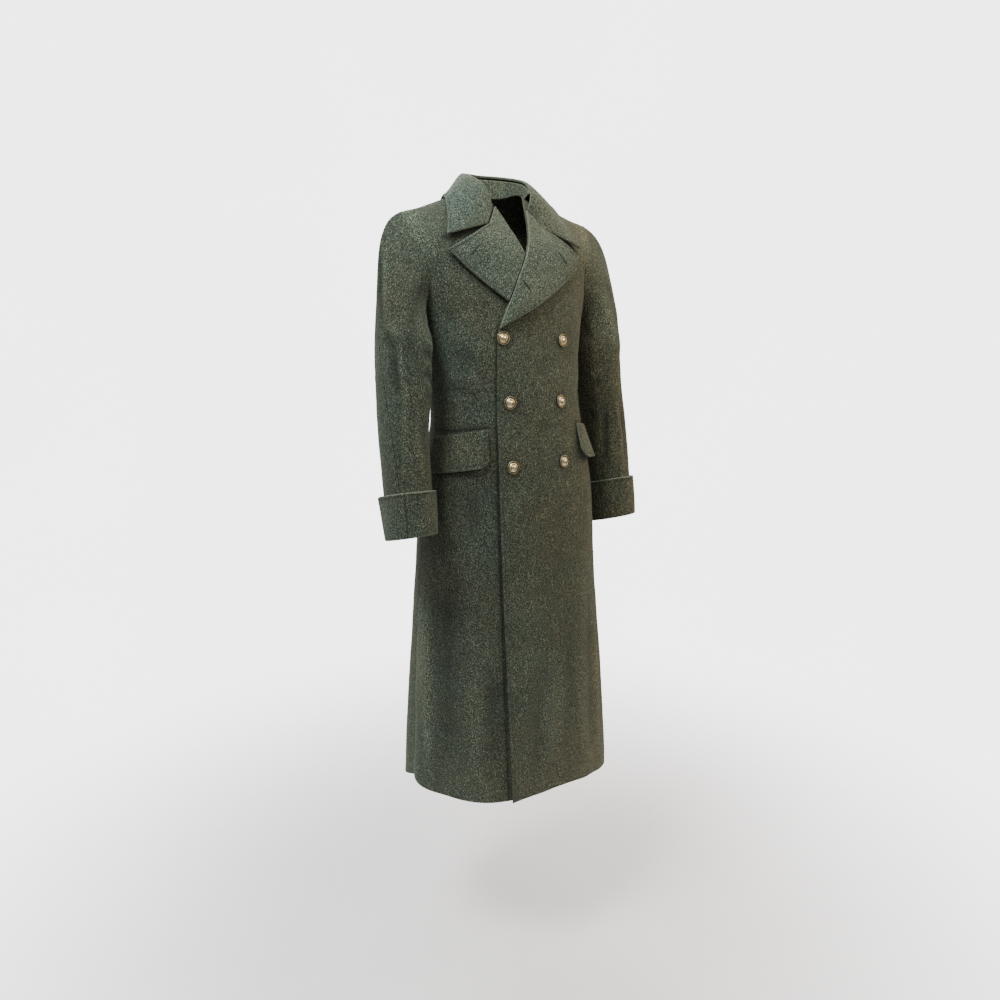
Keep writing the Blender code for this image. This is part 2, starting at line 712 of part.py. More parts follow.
def lapel_outline(side, down, over):
    """x and height of the lapel's points; down runs from gorge to foot, over from roll to edge."""
    top_along = on_front(1, *GORGE_ROLL)[0]
    end_along = BREAK_ALONG + 0.006 if side > 0 else TUCK_START_ALONG
    way = top_along + (end_along - top_along) * down
    inner = roll_point(way) + (0.0005, 0.0)
    peak = np.array(LAPEL_PEAK)
    if side > 0:
        end_row = blend(inner[-1, 0], LAPEL_FOOT, over)
    else:
        tuck = TUCK_START_ALONG + (TUCK_END_ALONG - TUCK_START_ALONG) * over
        end_row = roll_point(tuck) * (-1, 1) + (TUCK_GAP, 0.0)
    end = end_row[0, -1]
    outer = blend(peak, end, down)
    belly_way = unit(np.array([-(peak - end)[1], (peak - end)[0]]))
    outer = outer - LAPEL_BELLY * np.sin(math.pi * down)[..., None] * belly_way
    kink = notch_line(over, GORGE_ROLL, peak) - blend(GORGE_ROLL, peak, over)
    bend = end_row - blend(inner[-1, 0], end, over)
    place = blend(inner, outer, over) + kink * ((1 - down) ** 3)[..., None] + bend * (down ** 3)[..., None]
    return place - (0.0, SEAM_GAP)


def lapel_grid(side, rows, columns):
    """Outer points and normals of a lapel, and its inner face's lift off the front."""
    down = np.linspace(0, 1, rows)[:, None] * np.ones((1, columns))
    over = np.linspace(0, 1, columns)[None, :] * np.ones((rows, 1))
    place = lapel_outline(side, down, over)
    points, normals = front_place(side, place[..., 0], place[..., 1])
    lift = 2 * SEAM_GAP + LAPEL_ROLL * np.sin(math.pi * over) + LAPEL_LIFT * over ** 2
    return points + normals * (lift + DOUBLE_WALL)[..., None], normals


def collar_curves(round_way):
    """Roll edge, neckline and outer edge of the collar's left half, before the hang."""
    roll_rows, edge_rows = np.array(COLLAR_ROLL), np.array(COLLAR_EDGE)
    gorge, gorge_normal = bare_front(*GORGE_ROLL)
    gorge = gorge + gorge_normal * 2 * SEAM_GAP
    roll = through_both_halves(roll_rows[:, 0], roll_rows[:, 1:], gorge, round_way)
    tip, tip_normal = bare_front(*COLLAR_TIP)
    tip = tip + tip_normal * COLLAR_TIP_LIFT
    places, normals = bare_place(edge_rows[:, 1], edge_rows[:, 2])
    places = places + normals * edge_rows[:, 3:4]
    edge = through_both_halves(edge_rows[:, 0], places, tip, round_way)
    return roll, edge


def through_both_halves(stations, places, end, at):
    """A curve through places and an end on the left, level where it crosses to the right."""
    stations = np.append(stations, 1.0)
    places = np.concatenate([places, end[None]])
    mirrored = places[:0:-1] * (-1, 1, 1)
    return through(np.append(-stations[:0:-1], stations), np.concatenate([mirrored, places]), at)


def bare_place(along, x):
    """Points and normals of the left trunk before the hang, at along and x."""
    along, x = np.broadcast_arrays(np.asarray(along, float), np.asarray(x, float))
    across = across_at(1, along, x)
    ahead = trunk_bare(1, along + STEP, across) - trunk_bare(1, along - STEP, across)
    right = trunk_bare(1, along, across + STEP) - trunk_bare(1, along, across - STEP)
    return trunk_bare(1, along, across), unit(np.cross(right, ahead))


def bare_front(x, height):
    """Point and normal of the left front before the hang, at x and a height."""
    along, _ = on_front(1, x, height)
    return bare_place(along, x)


def collar_grid(turns, columns):
    """The inner face of the collar's fall, right end round the nape to left end."""
    way = np.linspace(-1, 1, turns)[:, None] * np.ones((1, columns))
    over = np.linspace(0, 1, columns)[None, :] * np.ones((turns, 1))
    size = np.abs(way)
    roll, edge = collar_curves(size)
    out = outward_of(roll)
    up = np.array([0.0, 0.0, 1.0])
    fade = (1 - smooth_step(size, 0.75, 1.0))[..., None]
    fall = unit(edge - roll)
    swell = unit(out - fall * np.sum(out * fall, -1, keepdims=True))
    turned = (out * COLLAR_TURN_OUT + up * COLLAR_TURN_UP) * fade
    p1 = roll + turned + (edge - roll) * COLLAR_END_SLOPE * (1 - fade)
    p2 = edge + (roll - edge) * COLLAR_EDGE_SLOPE + swell * COLLAR_SWELL * fade
    face = bezier(roll, p1, p2, edge, over[..., None])
    face += (collar_end(over[0]) - face[-1])[None] * smooth_step(size, 0.80, 1.0)[..., None]
    face = clear_of_coat(face, way, over)
    face[..., 0] *= np.sign(way)
    return face


def outward_of(points):
    """Level directions from the middle of the neck to the points."""
    level = points * (1, 1, 0) - (0, COLLAR_CENTRE_Y, 0)
    return unit(level)


def collar_end(over):
    """The front end of the collar's fall, from the gorge by the notch to the tip."""
    outline = notch_line(over, GORGE_ROLL, COLLAR_TIP)
    points, normals = bare_front(outline[:, 0], outline[:, 1])
    lift = 2 * SEAM_GAP + (COLLAR_TIP_LIFT - 2 * SEAM_GAP) * over ** COLLAR_TIP_CURL
    return points + normals * lift[:, None]


def clear_of_coat(face, way, over):
    """The collar's inner face, softly raised where it would come too close to the coat."""
    size = np.abs(way)
    foot_along, foot_x = neckline(size)
    tip_along = on_front(1, *COLLAR_TIP)[0]
    rows = np.concatenate([np.array(COLLAR_EDGE)[:, :3], [[1.0, tip_along, COLLAR_TIP[0]]]])
    edge_along, edge_x = np.moveaxis(through(rows[:, 0], rows[:, 1:], size), -1, 0)
    along, x, height = nearest_on_trunk(
        face, foot_along + (edge_along - foot_along) * over, foot_x + (edge_x - foot_x) * over)
    least = 2 * SEAM_GAP + np.where((way > 0) & (along < 0), lap_offset(along, x), 0.0)
    clear = (height + least + np.sqrt((height - least) ** 2 + COLLAR_SOFTEN ** 2)) / 2
    return face + bare_place(along, x)[1] * np.maximum(clear - height, 0.0)[..., None]


def neckline(round_way):
    """along and x of the stand's foot round the neckline."""
    rows = np.array(NECKLINE)
    return np.moveaxis(through(rows[:, 0], rows[:, 1:], round_way), -1, 0)


def nearest_on_trunk(points, along, x):
    """along and x of the left trunk's nearest places, and the points' heights off it."""
    for _ in range(12):
        by_along = (bare_place(along + STEP, x)[0] - bare_place(along - STEP, x)[0]) / (2 * STEP)
        by_x = (bare_place(along, x + STEP)[0] - bare_place(along, x - STEP)[0]) / (2 * STEP)
        gap = points - bare_place(along, x)[0]
        aa, xx, ax = (np.sum(p * q, -1) for p, q in ((by_along, by_along), (by_x, by_x), (by_along, by_x)))
        ga, gx = np.sum(gap * by_along, -1), np.sum(gap * by_x, -1)
        whole = aa * xx - ax * ax
        along = along + np.clip((ga * xx - gx * ax) / whole, -0.01, 0.01)
        x = np.maximum(x + np.clip((gx * aa - ga * ax) / whole, -0.01, 0.01), 0.0)
    place, normal = bare_place(along, x)
    return along, x, np.sum((points - place) * normal, -1)


def grid_normals(points):
    """Normals of a grid from its own neighbours."""
    down = np.gradient(points, axis=0)
    over = np.gradient(points, axis=1)
    return unit(np.cross(down, over))


def make_collar(finish):
    """The fall, turned down over the stand, and the stand on the neckline."""
    inner = hang(collar_grid(*COLLAR_GRID))
    normals = grid_normals(inner)
    add_wall("collar_fall", inner + normals * DOUBLE_WALL, normals, DOUBLE_WALL, finish)
    turns, rows = STAND_GRID
    way = np.linspace(-STAND_END, STAND_END, turns)
    roll, _ = collar_curves(np.abs(way))
    foot, foot_normal = bare_place(*neckline(np.abs(way)))
    foot = foot + foot_normal * SEAM_GAP
    top = roll - (0.0, 0.0, STAND_SHORT)
    inner = foot[:, None] + (top - foot)[:, None] * np.linspace(0, 1, rows)[None, :, None]
    outer = inner + outward_of(roll)[:, None] * WALL
    for face in (inner, outer):
        face[..., 0] *= np.sign(way)[:, None]
    points, faces = closed_shell(hang(outer), hang(inner))
    add_piece("collar_stand", points, faces, finish)


def flap_grid(side, columns, rows):
    """Outer points and normals of a hip flap, front end to back end and top to bottom."""
    turn = np.linspace(0, math.pi, columns)
    crowded = FLAP_CORNER_SHARE * (1 - np.cos(turn)) / 2
    share = (crowded + (1 - FLAP_CORNER_SHARE) * turn / math.pi)[:, None]
    down = np.linspace(0, 1, rows)[None, :]
    top = FLAP_TOP_FRONT_H + (FLAP_TOP_BACK_H - FLAP_TOP_FRONT_H) * share
    near_end = np.minimum(share, 1 - share) * FLAP_LENGTH
    cut = np.clip(FLAP_CORNER - near_end, 0, FLAP_CORNER)
    corner = FLAP_CORNER - np.sqrt(FLAP_CORNER ** 2 - cut ** 2)
    height = top - down * (FLAP_HEIGHT - corner)
    along = height - SHOULDER_H
    for _ in range(12):
        first = across_at(side, along, FLAP_FRONT_X)
        across = first + (FLAP_BACK_ACROSS - first) * share
        along = along + 0.8 * (height - trunk_bare(side, along, across)[..., 2])
    x = trunk_bare(side, along, across)[..., 0] * side
    points, normals = front_surface(side, along, across, x)
    fall = (top - height) / FLAP_HEIGHT
    settled = 1 - (1 - FLAP_BACK_LIFT_SHARE) * smooth_step(share, 0.30, 0.85)
    lift = 2.5 * SEAM_GAP + FLAP_LIFT[side] * settled * fall ** FLAP_CURL
    return points + normals * (lift + DOUBLE_WALL)[..., None], normals


def make_button(side, name, row, finish):
    """A turned, domed metal button with a rim, seated on the left front."""
    x, height = BUTTON_ROWS[row]
    place, axis = front_place(1, side * x, height)
    first = unit(np.cross(axis, np.array([0.0, 0.0, 1.0])))
    second = np.cross(axis, first)
    seat = place + axis * SEAM_GAP
    turn = np.linspace(0, 2 * math.pi, BUTTON_SEGMENTS, endpoint=False)
    rings = [seat + r * (np.cos(turn)[:, None] * first + np.sin(turn)[:, None] * second) + rise * axis
             for r, rise in BUTTON_PROFILE]
    points = np.concatenate(rings + [seat[None], (seat + axis * BUTTON_TOP)[None]])
    count = BUTTON_SEGMENTS
    faces = []
    for i in range(len(rings) - 1):
        for j in range(count):
            k = (j + 1) % count
            faces.append((i * count + j, i * count + k, (i + 1) * count + k, (i + 1) * count + j))
    back, top = len(points) - 2, len(points) - 1
    last = (len(rings) - 1) * count
    for j in range(count):
        k = (j + 1) % count
        faces.append((back, k, j))
        faces.append((top, last + j, last + k))
    add_piece(f"button_{name}_{row + 1}", points, faces, finish, sharp=50.0)


def make_panels(side, name, finish):
    """The front and the back of one side."""
    points, normals = front_grid(side, FRONT_COLUMNS)
    add_wall(f"front_{name}", points, normals, WALL, finish)
    points, normals = back_grid(side, BACK_COLUMNS)
    add_wall(f"back_{name}", points, normals, WALL, finish)


def clear_scene():
    """Start from an empty scene."""
    for item in list(bpy.data.objects):
        bpy.data.objects.remove(item, do_unlink=True)


def main():
    """Build every piece of the coat."""
    clear_scene()
    wool = material("wool melton, field grey", (0.060, 0.070, 0.055), 0.95, 0.0)
    metal = material("stamped brass", (0.72, 0.60, 0.38), 0.30, 1.0)
    for side, name in ((1, "left"), (-1, "right")):
        make_panels(side, name, wool)
        make_sleeve(side, name, wool)
        make_cuff(side, name, wool)
        points, normals = lapel_grid(side, *LAPEL_GRID)
        add_wall(f"lapel_{name}", points, normals, DOUBLE_WALL, wool)
        points, normals = flap_grid(side, *FLAP_GRID)
        add_wall(f"flap_{name}", points, normals, DOUBLE_WALL, wool)
        for row in range(len(BUTTON_ROWS)):
            make_button(side, name, row, metal)
    make_collar(wool)


main()
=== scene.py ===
"""How the double-breasted wool greatcoat looks, in its worn and hollow form.

Metres, +Z up. The coat faces -Y and the wearer's left is +X, so side = 1 is the
wearer's left and side = -1 the right. Heights in the tables are above the wearer's
ground, SUPPORT_HEIGHT below the origin. A point of the trunk is named by `along`, the
way from the front hem (negative) over the shoulder seam (0) to the back hem, and by
`across`, from 0 at the centre line to 1 at the flank.
"""

import math

import bpy
import numpy as np
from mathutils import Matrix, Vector, noise


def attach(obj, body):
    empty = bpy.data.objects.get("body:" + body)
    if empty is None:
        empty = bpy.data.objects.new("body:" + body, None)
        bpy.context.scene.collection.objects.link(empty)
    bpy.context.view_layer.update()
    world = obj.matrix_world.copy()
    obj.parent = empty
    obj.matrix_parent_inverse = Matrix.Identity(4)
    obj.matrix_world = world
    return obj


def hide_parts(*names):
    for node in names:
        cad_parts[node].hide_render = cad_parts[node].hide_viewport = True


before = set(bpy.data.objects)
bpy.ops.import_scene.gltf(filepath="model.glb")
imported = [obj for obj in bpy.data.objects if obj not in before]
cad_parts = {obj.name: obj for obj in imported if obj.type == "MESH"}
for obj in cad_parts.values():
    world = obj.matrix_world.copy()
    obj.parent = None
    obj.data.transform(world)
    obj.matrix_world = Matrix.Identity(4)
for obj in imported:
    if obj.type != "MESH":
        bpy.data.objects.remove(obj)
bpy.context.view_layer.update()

# Driving sizes
SUPPORT_HEIGHT = 1.53
WALL = 0.003
DOUBLE_WALL = 0.005
SEAM_GAP = 0.0004
LAP_RISE = WALL + 0.0006
HEM_ALONG = 1.12
UNDERARM_ALONG = 0.19
BREAK_ALONG = -0.205
NAPE_ALONG = 0.045
LEAN = 0.055
LEAN_TOP_SHARE = 0.25
LEAN_STARTS_H = (1.08, 1.30)
SHOULDER_H = 1.535
LAP_SIDE_FADE = (0.098, 0.150)
LAP_TOP_FADE = (-0.075, -0.015)
PANEL_WIDTH = 0.3
SLEEVE_RADIUS = 0.055
STEP = 0.002

# Spacing of the cloth's points
FRONT_STEP = 0.0036
BACK_STEP = 0.0055
SLEEVE_STEP = 0.0042
TRIM_STEP = 0.0042

# Sections of the trunk. Columns: along, centre_y, centre_h, reach, sink, flank, turn_x, turn_h
TRUNK = (
    (-1.12, -0.172, 0.410, 0.140, 0.000, -0.100, 0.000, 0.000),
    (-0.92, -0.171, 0.610, 0.132, 0.000, -0.096, 0.000, 0.000),
    (-0.71, -0.168, 0.820, 0.124, 0.000, -0.090, 0.000, 0.000),
    (-0.50, -0.161, 1.030, 0.112, 0.000, -0.082, 0.000, 0.000),
    (-0.33, -0.147, 1.200, 0.094, 0.000, -0.068, 0.000, 0.000),
    (-0.19, -0.131, 1.345, 0.096, 0.000, -0.066, 0.000, 0.000),
    (-0.11, -0.111, 1.425, 0.100, 0.002, -0.052, 0.005, 0.000),
    (-0.05, -0.078, 1.507, 0.102, 0.006, -0.034, 0.020, 0.006),
    (0.000, -0.004, 1.600, 0.090, 0.022, 0.000, 0.050, 0.014),
    (0.050, 0.058, 1.578, 0.100, 0.010, 0.034, 0.020, 0.006),
    (0.110, 0.083, 1.500, 0.100, 0.004, 0.054, 0.005, 0.000),
    (0.190, 0.098, 1.395, 0.098, 0.000, 0.072, 0.000, 0.000),
    (0.330, 0.072, 1.220, 0.094, 0.000, 0.064, 0.000, 0.000),
    (0.500, 0.100, 1.035, 0.104, 0.000, 0.070, 0.000, 0.000),
    (0.710, 0.113, 0.820, 0.114, 0.000, 0.074, 0.000, 0.000),
    (0.920, 0.132, 0.610, 0.122, 0.000, 0.080, 0.000, 0.000),
    (1.120, 0.156, 0.410, 0.130, 0.000, 0.088, 0.000, 0.000),
)

# The flank line. Columns: along, x, y, h
FLANK = (
    (0.00, 0.222, 0.000, 1.531),
    (0.05, 0.216, -0.003, 1.500),
    (0.11, 0.194, -0.010, 1.428),
    (0.19, 0.168, -0.020, 1.345),
    (0.33, 0.152, -0.038, 1.200),
    (0.50, 0.178, -0.030, 1.030),
    (0.71, 0.196, -0.020, 0.820),
    (0.92, 0.206, -0.010, 0.610),
    (1.12, 0.214, -0.002, 0.410),
)

# Front edge, roll line and the back's neckline. Columns: along, x past the centre
FRONT_EDGE = (
    (-1.12, -0.073),
    (-0.92, -0.079),
    (-0.71, -0.082),
    (-0.50, -0.084),
    (-0.33, -0.079),
    (BREAK_ALONG, -0.073),
)
ROLL_LINE = (
    (BREAK_ALONG, -0.073),
    (-0.150, -0.050),
    (-0.110, -0.028),
    (-0.072, 0.000),
    (-0.030, 0.030),
    (0.000, 0.052),
)
NECKLINE_BACK = (
    (0.000, 0.052),
    (0.020, 0.047),
    (0.036, 0.030),
    (NAPE_ALONG, 0.000),
)

# The armhole's edge: inset from the flank line at the shoulder, and its scoop, in across
ARMHOLE_INSET = 0.148
ARMHOLE_SCOOP_FRONT = 0.168
ARMHOLE_SCOOP_BACK = 0.100
ARMHOLE_ROUNDING = 1.5

# The skirt is squarer at the left front and rounder at the right front.
# Columns: along, change of reach, of flank, of the flank's x
SKIRT_SKEW = {
    1: (
        (-1.12, 0.046, -0.058, -0.014),
        (-0.92, 0.034, -0.038, -0.013),
        (-0.71, 0.018, -0.018, -0.006),
        (-0.50, 0.016, -0.014, 0.003),
        (-0.33, 0.000, 0.000, 0.000),
    ),
    -1: (
        (-1.12, -0.034, 0.036, -0.004),
        (-0.92, -0.022, 0.020, -0.004),
        (-0.71, -0.010, 0.010, -0.008),
        (-0.50, -0.002, 0.002, -0.005),
        (-0.33, 0.000, 0.000, 0.000),
    ),
}
UPPER_DRIFT = 0.006
UPPER_DRIFT_H = (1.25, 1.45)
HEM_DRIFT = 0.008
HEM_DRIFT_H = (0.41, 1.00)

# The hem's own line. Columns: across, rise at the front's hem, rise at the back's hem
HEM_LINE = {
    1: (
        (0.00, 0.000, 0.000),
        (0.15, -0.002, 0.000),
        (0.30, -0.009, 0.000),
        (0.50, -0.017, -0.002),
        (0.70, -0.021, -0.008),
        (1.00, -0.021, -0.021),
    ),
    -1: (
        (0.00, -0.004, 0.000),
        (0.55, -0.006, 0.000),
        (0.80, 0.002, 0.000),
        (1.00, 0.018, 0.018),
    ),
}
HEM_LINE_START = 0.90

# Soft vertical folds of the skirt. Columns: side, front or back, across at the hem,
# across at the top, half width across, height where it starts, depth at the hem
FOLDS = (
    (1, -1, 0.72, 0.62, 0.16, 1.02, 0.016),
    (1, -1, 0.38, 0.42, 0.12, 0.90, -0.004),
    (-1, -1, 0.88, 0.86, 0.10, 0.98, 0.005),
    (-1, -1, 0.66, 0.70, 0.09, 0.90, -0.003),
    (-1, -1, 0.36, 0.40, 0.12, 0.80, 0.003),
    (1, 1, 0.30, 0.34, 0.14, 0.95, 0.010),
    (1, 1, 0.66, 0.62, 0.14, 0.98, -0.006),
    (1, 1, 0.88, 0.84, 0.10, 0.95, 0.006),
    (-1, 1, 0.34, 0.36, 0.14, 0.98, 0.011),
    (-1, 1, 0.64, 0.62, 0.13, 0.92, -0.007),
    (-1, 1, 0.86, 0.84, 0.10, 0.95, 0.007),
)

# The arm's path below the armpit. Columns: down, centre x, y, h, half width, half depth
ARM = (
    (0.00, 0.2165, -0.038, 1.300, 0.0490, 0.0620),
    (0.22, 0.2212, -0.045, 1.225, 0.0478, 0.0600),
    (0.48, 0.2285, -0.056, 1.140, 0.0440, 0.0560),
    (0.74, 0.2300, -0.070, 1.048, 0.0425, 0.0540),
    (1.00, 0.2325, -0.087, 0.956, 0.0405, 0.0510),
)
CAP_FULLNESS = 0.86
CAP_SETTLE = 0.20
CAP_LEVEL = 0.65
CAP_OUTWARD = 0.4
CAP_RISE = 0.42
CAP_FORWARD = 0.15
CAP_SQUARE_WAY = 0.1
CAP_SEAM_GAPS = 0.3
FRONT_SEAM_TURN = 35.0
BACK_SEAM_TURN_TOP = 205.0
BACK_SEAM_TURN_CUFF = 140.0

# How far out the wearer's left arm hangs. Columns: height, shift
LEFT_ARM_SHIFT = (
    (0.92, 0.002),
    (1.08, 0.003),
    (1.17, 0.001),
    (1.25, -0.003),
    (1.33, 0.000),
    (1.55, 0.000),
)
CUFF_TILT = 0.005
CUFF_TILT_START_WAY = 1.40
CUFF_LEAN = 0.09
CUFF_LEAN_X = 0.232
CUFF_LEAN_H = (0.98, 1.12)
CUFF_TOP_DOWN = 0.775
CUFF_FLARE = 0.0015
CUFF_BACK_FLARE = 0.007
CUFF_SEAM_TURNS = (28.0, 126.0)

# Lapels, in x past the centre line and height
GORGE_ROLL = (0.040, 1.552)
NOTCH = (0.063, 1.518)
NOTCH_SHARE = 0.28
LAPEL_PEAK = (0.1435, 1.469)
LAPEL_FOOT = (-0.060, 1.3425)
LAPEL_BELLY = 0.005
LAPEL_LIFT = 0.0030
LAPEL_ROLL = 0.0025
TUCK_START_ALONG = -0.073
TUCK_END_ALONG = -0.148
TUCK_GAP = 0.0022

# Collar. Columns of the roll edge: round, x, y, h; of the neckline: round, along, x;
# of the outer edge: round, along, x, lift
COLLAR_CENTRE_Y = 0.004
COLLAR_ROLL = (
    (0.00, 0.000, 0.068, 1.621),
    (0.16, 0.024, 0.064, 1.621),
    (0.32, 0.044, 0.050, 1.619),
    (0.49, 0.056, 0.025, 1.614),
    (0.66, 0.057, -0.006, 1.605),
    (0.84, 0.049, -0.036, 1.584),
)
NECKLINE = (
    (0.00, 0.0475, 0.000),
    (0.16, 0.0430, 0.021),
    (0.32, 0.0330, 0.041),
    (0.49, 0.0160, 0.053),
    (0.66, 0.0000, 0.0550),
    (0.84, -0.0110, 0.0475),
    (0.93, -0.0160, 0.0440),
)
STAND_END = 0.79
COLLAR_EDGE = (
    (0.00, 0.078, 0.000, 0.0035),
    (0.16, 0.076, 0.036, 0.0035),
    (0.32, 0.064, 0.072, 0.0030),
    (0.49, 0.037, 0.097, 0.0020),
    (0.66, -0.002, 0.114, 0.0020),
    (0.84, -0.036, 0.130, 0.0040),
)
COLLAR_TIP = (0.142, 1.490)
COLLAR_TIP_LIFT = 0.0090
COLLAR_TIP_CURL = 1.5
COLLAR_TURN_OUT = 0.010
COLLAR_TURN_UP = 0.002
COLLAR_SWELL = 0.001
COLLAR_SOFTEN = 0.0012
COLLAR_END_SLOPE = 0.3
COLLAR_EDGE_SLOPE = 0.35
STAND_SHORT = 0.0026

# Hip flaps
FLAP_FRONT_X = 0.096
FLAP_BACK_ACROSS = 0.965
FLAP_LENGTH = 0.145
FLAP_HEIGHT = 0.068
FLAP_TOP_FRONT_H = 1.162
FLAP_TOP_BACK_H = 1.141
FLAP_CORNER = 0.020
FLAP_LIFT = {1: 0.012, -1: 0.004}
FLAP_CURL = 1.4
FLAP_BACK_LIFT_SHARE = 0.1
POCKET_MOUTH_DEPTH = 0.0008
POCKET_MOUTH_HALF_MM = 4.0

# The shoulder pad's rise over the sleeve's seam, where it fades in by height, and its
# reach into the panel and into the sleeve
PAD_RISE = 0.0026
PAD_H = (1.43, 1.49)
PAD_REACH_PANEL = 0.022
PAD_REACH_SLEEVE = 0.010
# How slowly the shade under the collar's lifted ends fades, against other shades
COLLAR_SHADE_SHARE = 0.42

# Buttons: x and height of each row
BUTTON_ROWS = ((0.064, 1.320), (0.0555, 1.207), (0.057, 1.092))
BUTTON_PULL = 0.0007
BUTTON_PULL_RADIUS = 0.017
# The turned face of a button: radius and rise in mm, and how dark it is painted, 0 to 1: grime in its grooves, and
# painted shade on the outer rim's side and ring
BUTTON_FACE = (
    (9.40, 0.00, 1.0),
    (11.00, 0.25, 1.0),
    (11.70, 0.80, 1.0),
    (12.00, 1.60, 1.0),
    (12.00, 2.40, 0.9),
    (11.75, 3.00, 0.8),
    (11.30, 3.30, 0.7),
    (10.80, 3.32, 0.8),
    (10.30, 3.05, 1.0),
    (9.90, 2.50, 1.0),
    (9.50, 2.20, 1.0),
    (9.10, 2.30, 1.0),
    (8.60, 2.80, 0.7),
    (8.10, 3.50, 0.2),
    (7.60, 4.15, 0.0),
    (7.10, 4.50, 0.0),
    (6.60, 4.55, 0.1),
    (6.20, 4.20, 0.6),
    (5.85, 3.90, 1.0),
    (5.50, 3.95, 0.9),
    (5.00, 4.40, 0.3),
    (4.20, 5.05, 0.1),
    (3.20, 5.60, 0.0),
    (2.10, 6.05, 0.0),
    (1.00, 6.30, 0.0),
)
BUTTON_TOP = 6.4
BUTTON_SEGMENTS = 64

# How the cloth's edges are finished. A free edge is rounded to half its wall; a stitched
# one has a line of topstitching beside it; a seam lies in a soft valley; a welt is pressed
# flat. Columns: rounding as a share of the wall, rounding's width, valley's depth, valley's
# half width and the topstitching's distance, all in mm
EDGES = {
    "free": (0.48, 1.6, 0.0, 1.0, 0.0),
    "stitched": (0.48, 2.0, 0.0, 1.0, 6.0),
    "seam": (0.20, 0.9, 0.45, 3.2, 0.0),
    "armhole": (0.08, 0.7, 0.30, 5.0, 0.0),
    "welt": (0.42, 4.5, 0.0, 1.0, 0.0),
    "tucked": (0.10, 0.6, 0.0, 1.0, 0.0),
}
# Where rows of points lie beside each kind of edge, in mm
EDGE_STEPS = {
    "free": (0, 0.25, 0.6, 1.1, 1.8, 3.0, 5.0),
    "stitched": (0, 0.3, 0.8, 1.4, 2.1, 3.2, 4.4, 5.2, 5.6, 6.0, 6.4, 6.9, 8.2),
    "seam": (0, 0.25, 0.6, 1.1, 2.0, 3.4, 5.5),
    "armhole": (0, 0.25, 0.6, 1.1, 2.0, 3.4, 5.5),
    "welt": (0, 0.5, 1.2, 2.2, 3.4, 4.8),
    "tucked": (0, 0.5, 2.0),
}
ARMHOLE_TUCK = 0.0006
SEAM_EASE_MM = {"armhole": 1.1, "seam": 0.5, "welt": 0.0}
STITCH_LINE_MM = 6.0
STITCH_GROOVE_MM = 0.40
STITCH_GROOVE_HALF_MM = 0.9
EDGE_PUFF_MM = 0.30

# Topstitches are 3 mm long and 0.4 mm thick on the real coat; they are drawn half as
# long again and twice as thick, so that they show
STITCH_LENGTH = 0.0042
STITCH_SPACING = 0.0060
STITCH_RADIUS = 0.00042

# Soft troughs and ridges, listed one by one. Columns: start, end, sideways bow, half width
# and depth, both in mm; a ridge is positive. On the trunk places are x past the centre
# and height; on a sleeve they are the turn in degrees and height.
FRONT_CREASES = {
    -1: (
        ((0.187, 0.900), (0.198, 0.432), -2, 6, 3.4),
        ((0.203, 0.960), (0.214, 0.480), -2, 7, -3.4),
        ((0.160, 0.900), (0.168, 0.480), -4, 14, -1.6),
        ((0.128, 0.760), (0.136, 0.440), 3, 12, 1.3),
        ((0.098, 0.700), (0.104, 0.450), -2, 15, -1.2),
        ((0.060, 0.640), (0.066, 0.430), 2, 14, 0.8),
        ((0.150, 1.235), (0.104, 1.212), 3, 6, -1.2),
        ((0.150, 1.255), (0.098, 1.246), 3, 7, 0.9),
        ((0.146, 1.300), (0.110, 1.276), 3, 8, -0.9),
        ((0.150, 1.345), (0.112, 1.392), 5, 7, -1.5),
        ((0.140, 1.335), (0.098, 1.378), 4, 8, 0.9),
        ((0.136, 1.068), (0.126, 0.960), 3, 9, -1.0),
    ),
    1: (
        ((0.148, 0.790), (0.160, 0.440), -3, 8, 1.4),
        ((0.128, 0.860), (0.136, 0.460), 3, 11, -1.5),
        ((0.100, 0.740), (0.104, 0.430), 2, 13, 1.0),
        ((0.066, 0.820), (0.060, 0.470), -3, 15, -1.2),
        ((0.028, 0.700), (0.020, 0.430), 2, 15, 0.9),
        ((-0.014, 0.620), (-0.022, 0.430), 2, 13, -0.8),
        ((0.150, 1.225), (0.098, 1.196), 3, 6, -1.3),
        ((0.150, 1.248), (0.094, 1.230), 3, 7, 0.9),
        ((0.148, 1.290), (0.106, 1.262), 3, 8, -1.0),
        ((0.150, 1.345), (0.116, 1.392), 5, 7, -1.5),
        ((0.138, 1.330), (0.102, 1.372), 4, 8, 0.9),
        ((0.122, 1.056), (0.112, 0.930), 3, 10, -1.0),
        ((0.022, 1.180), (-0.010, 1.120), 4, 10, -0.7),
        ((0.030, 1.290), (0.004, 1.236), 4, 12, -0.6),
    ),
}
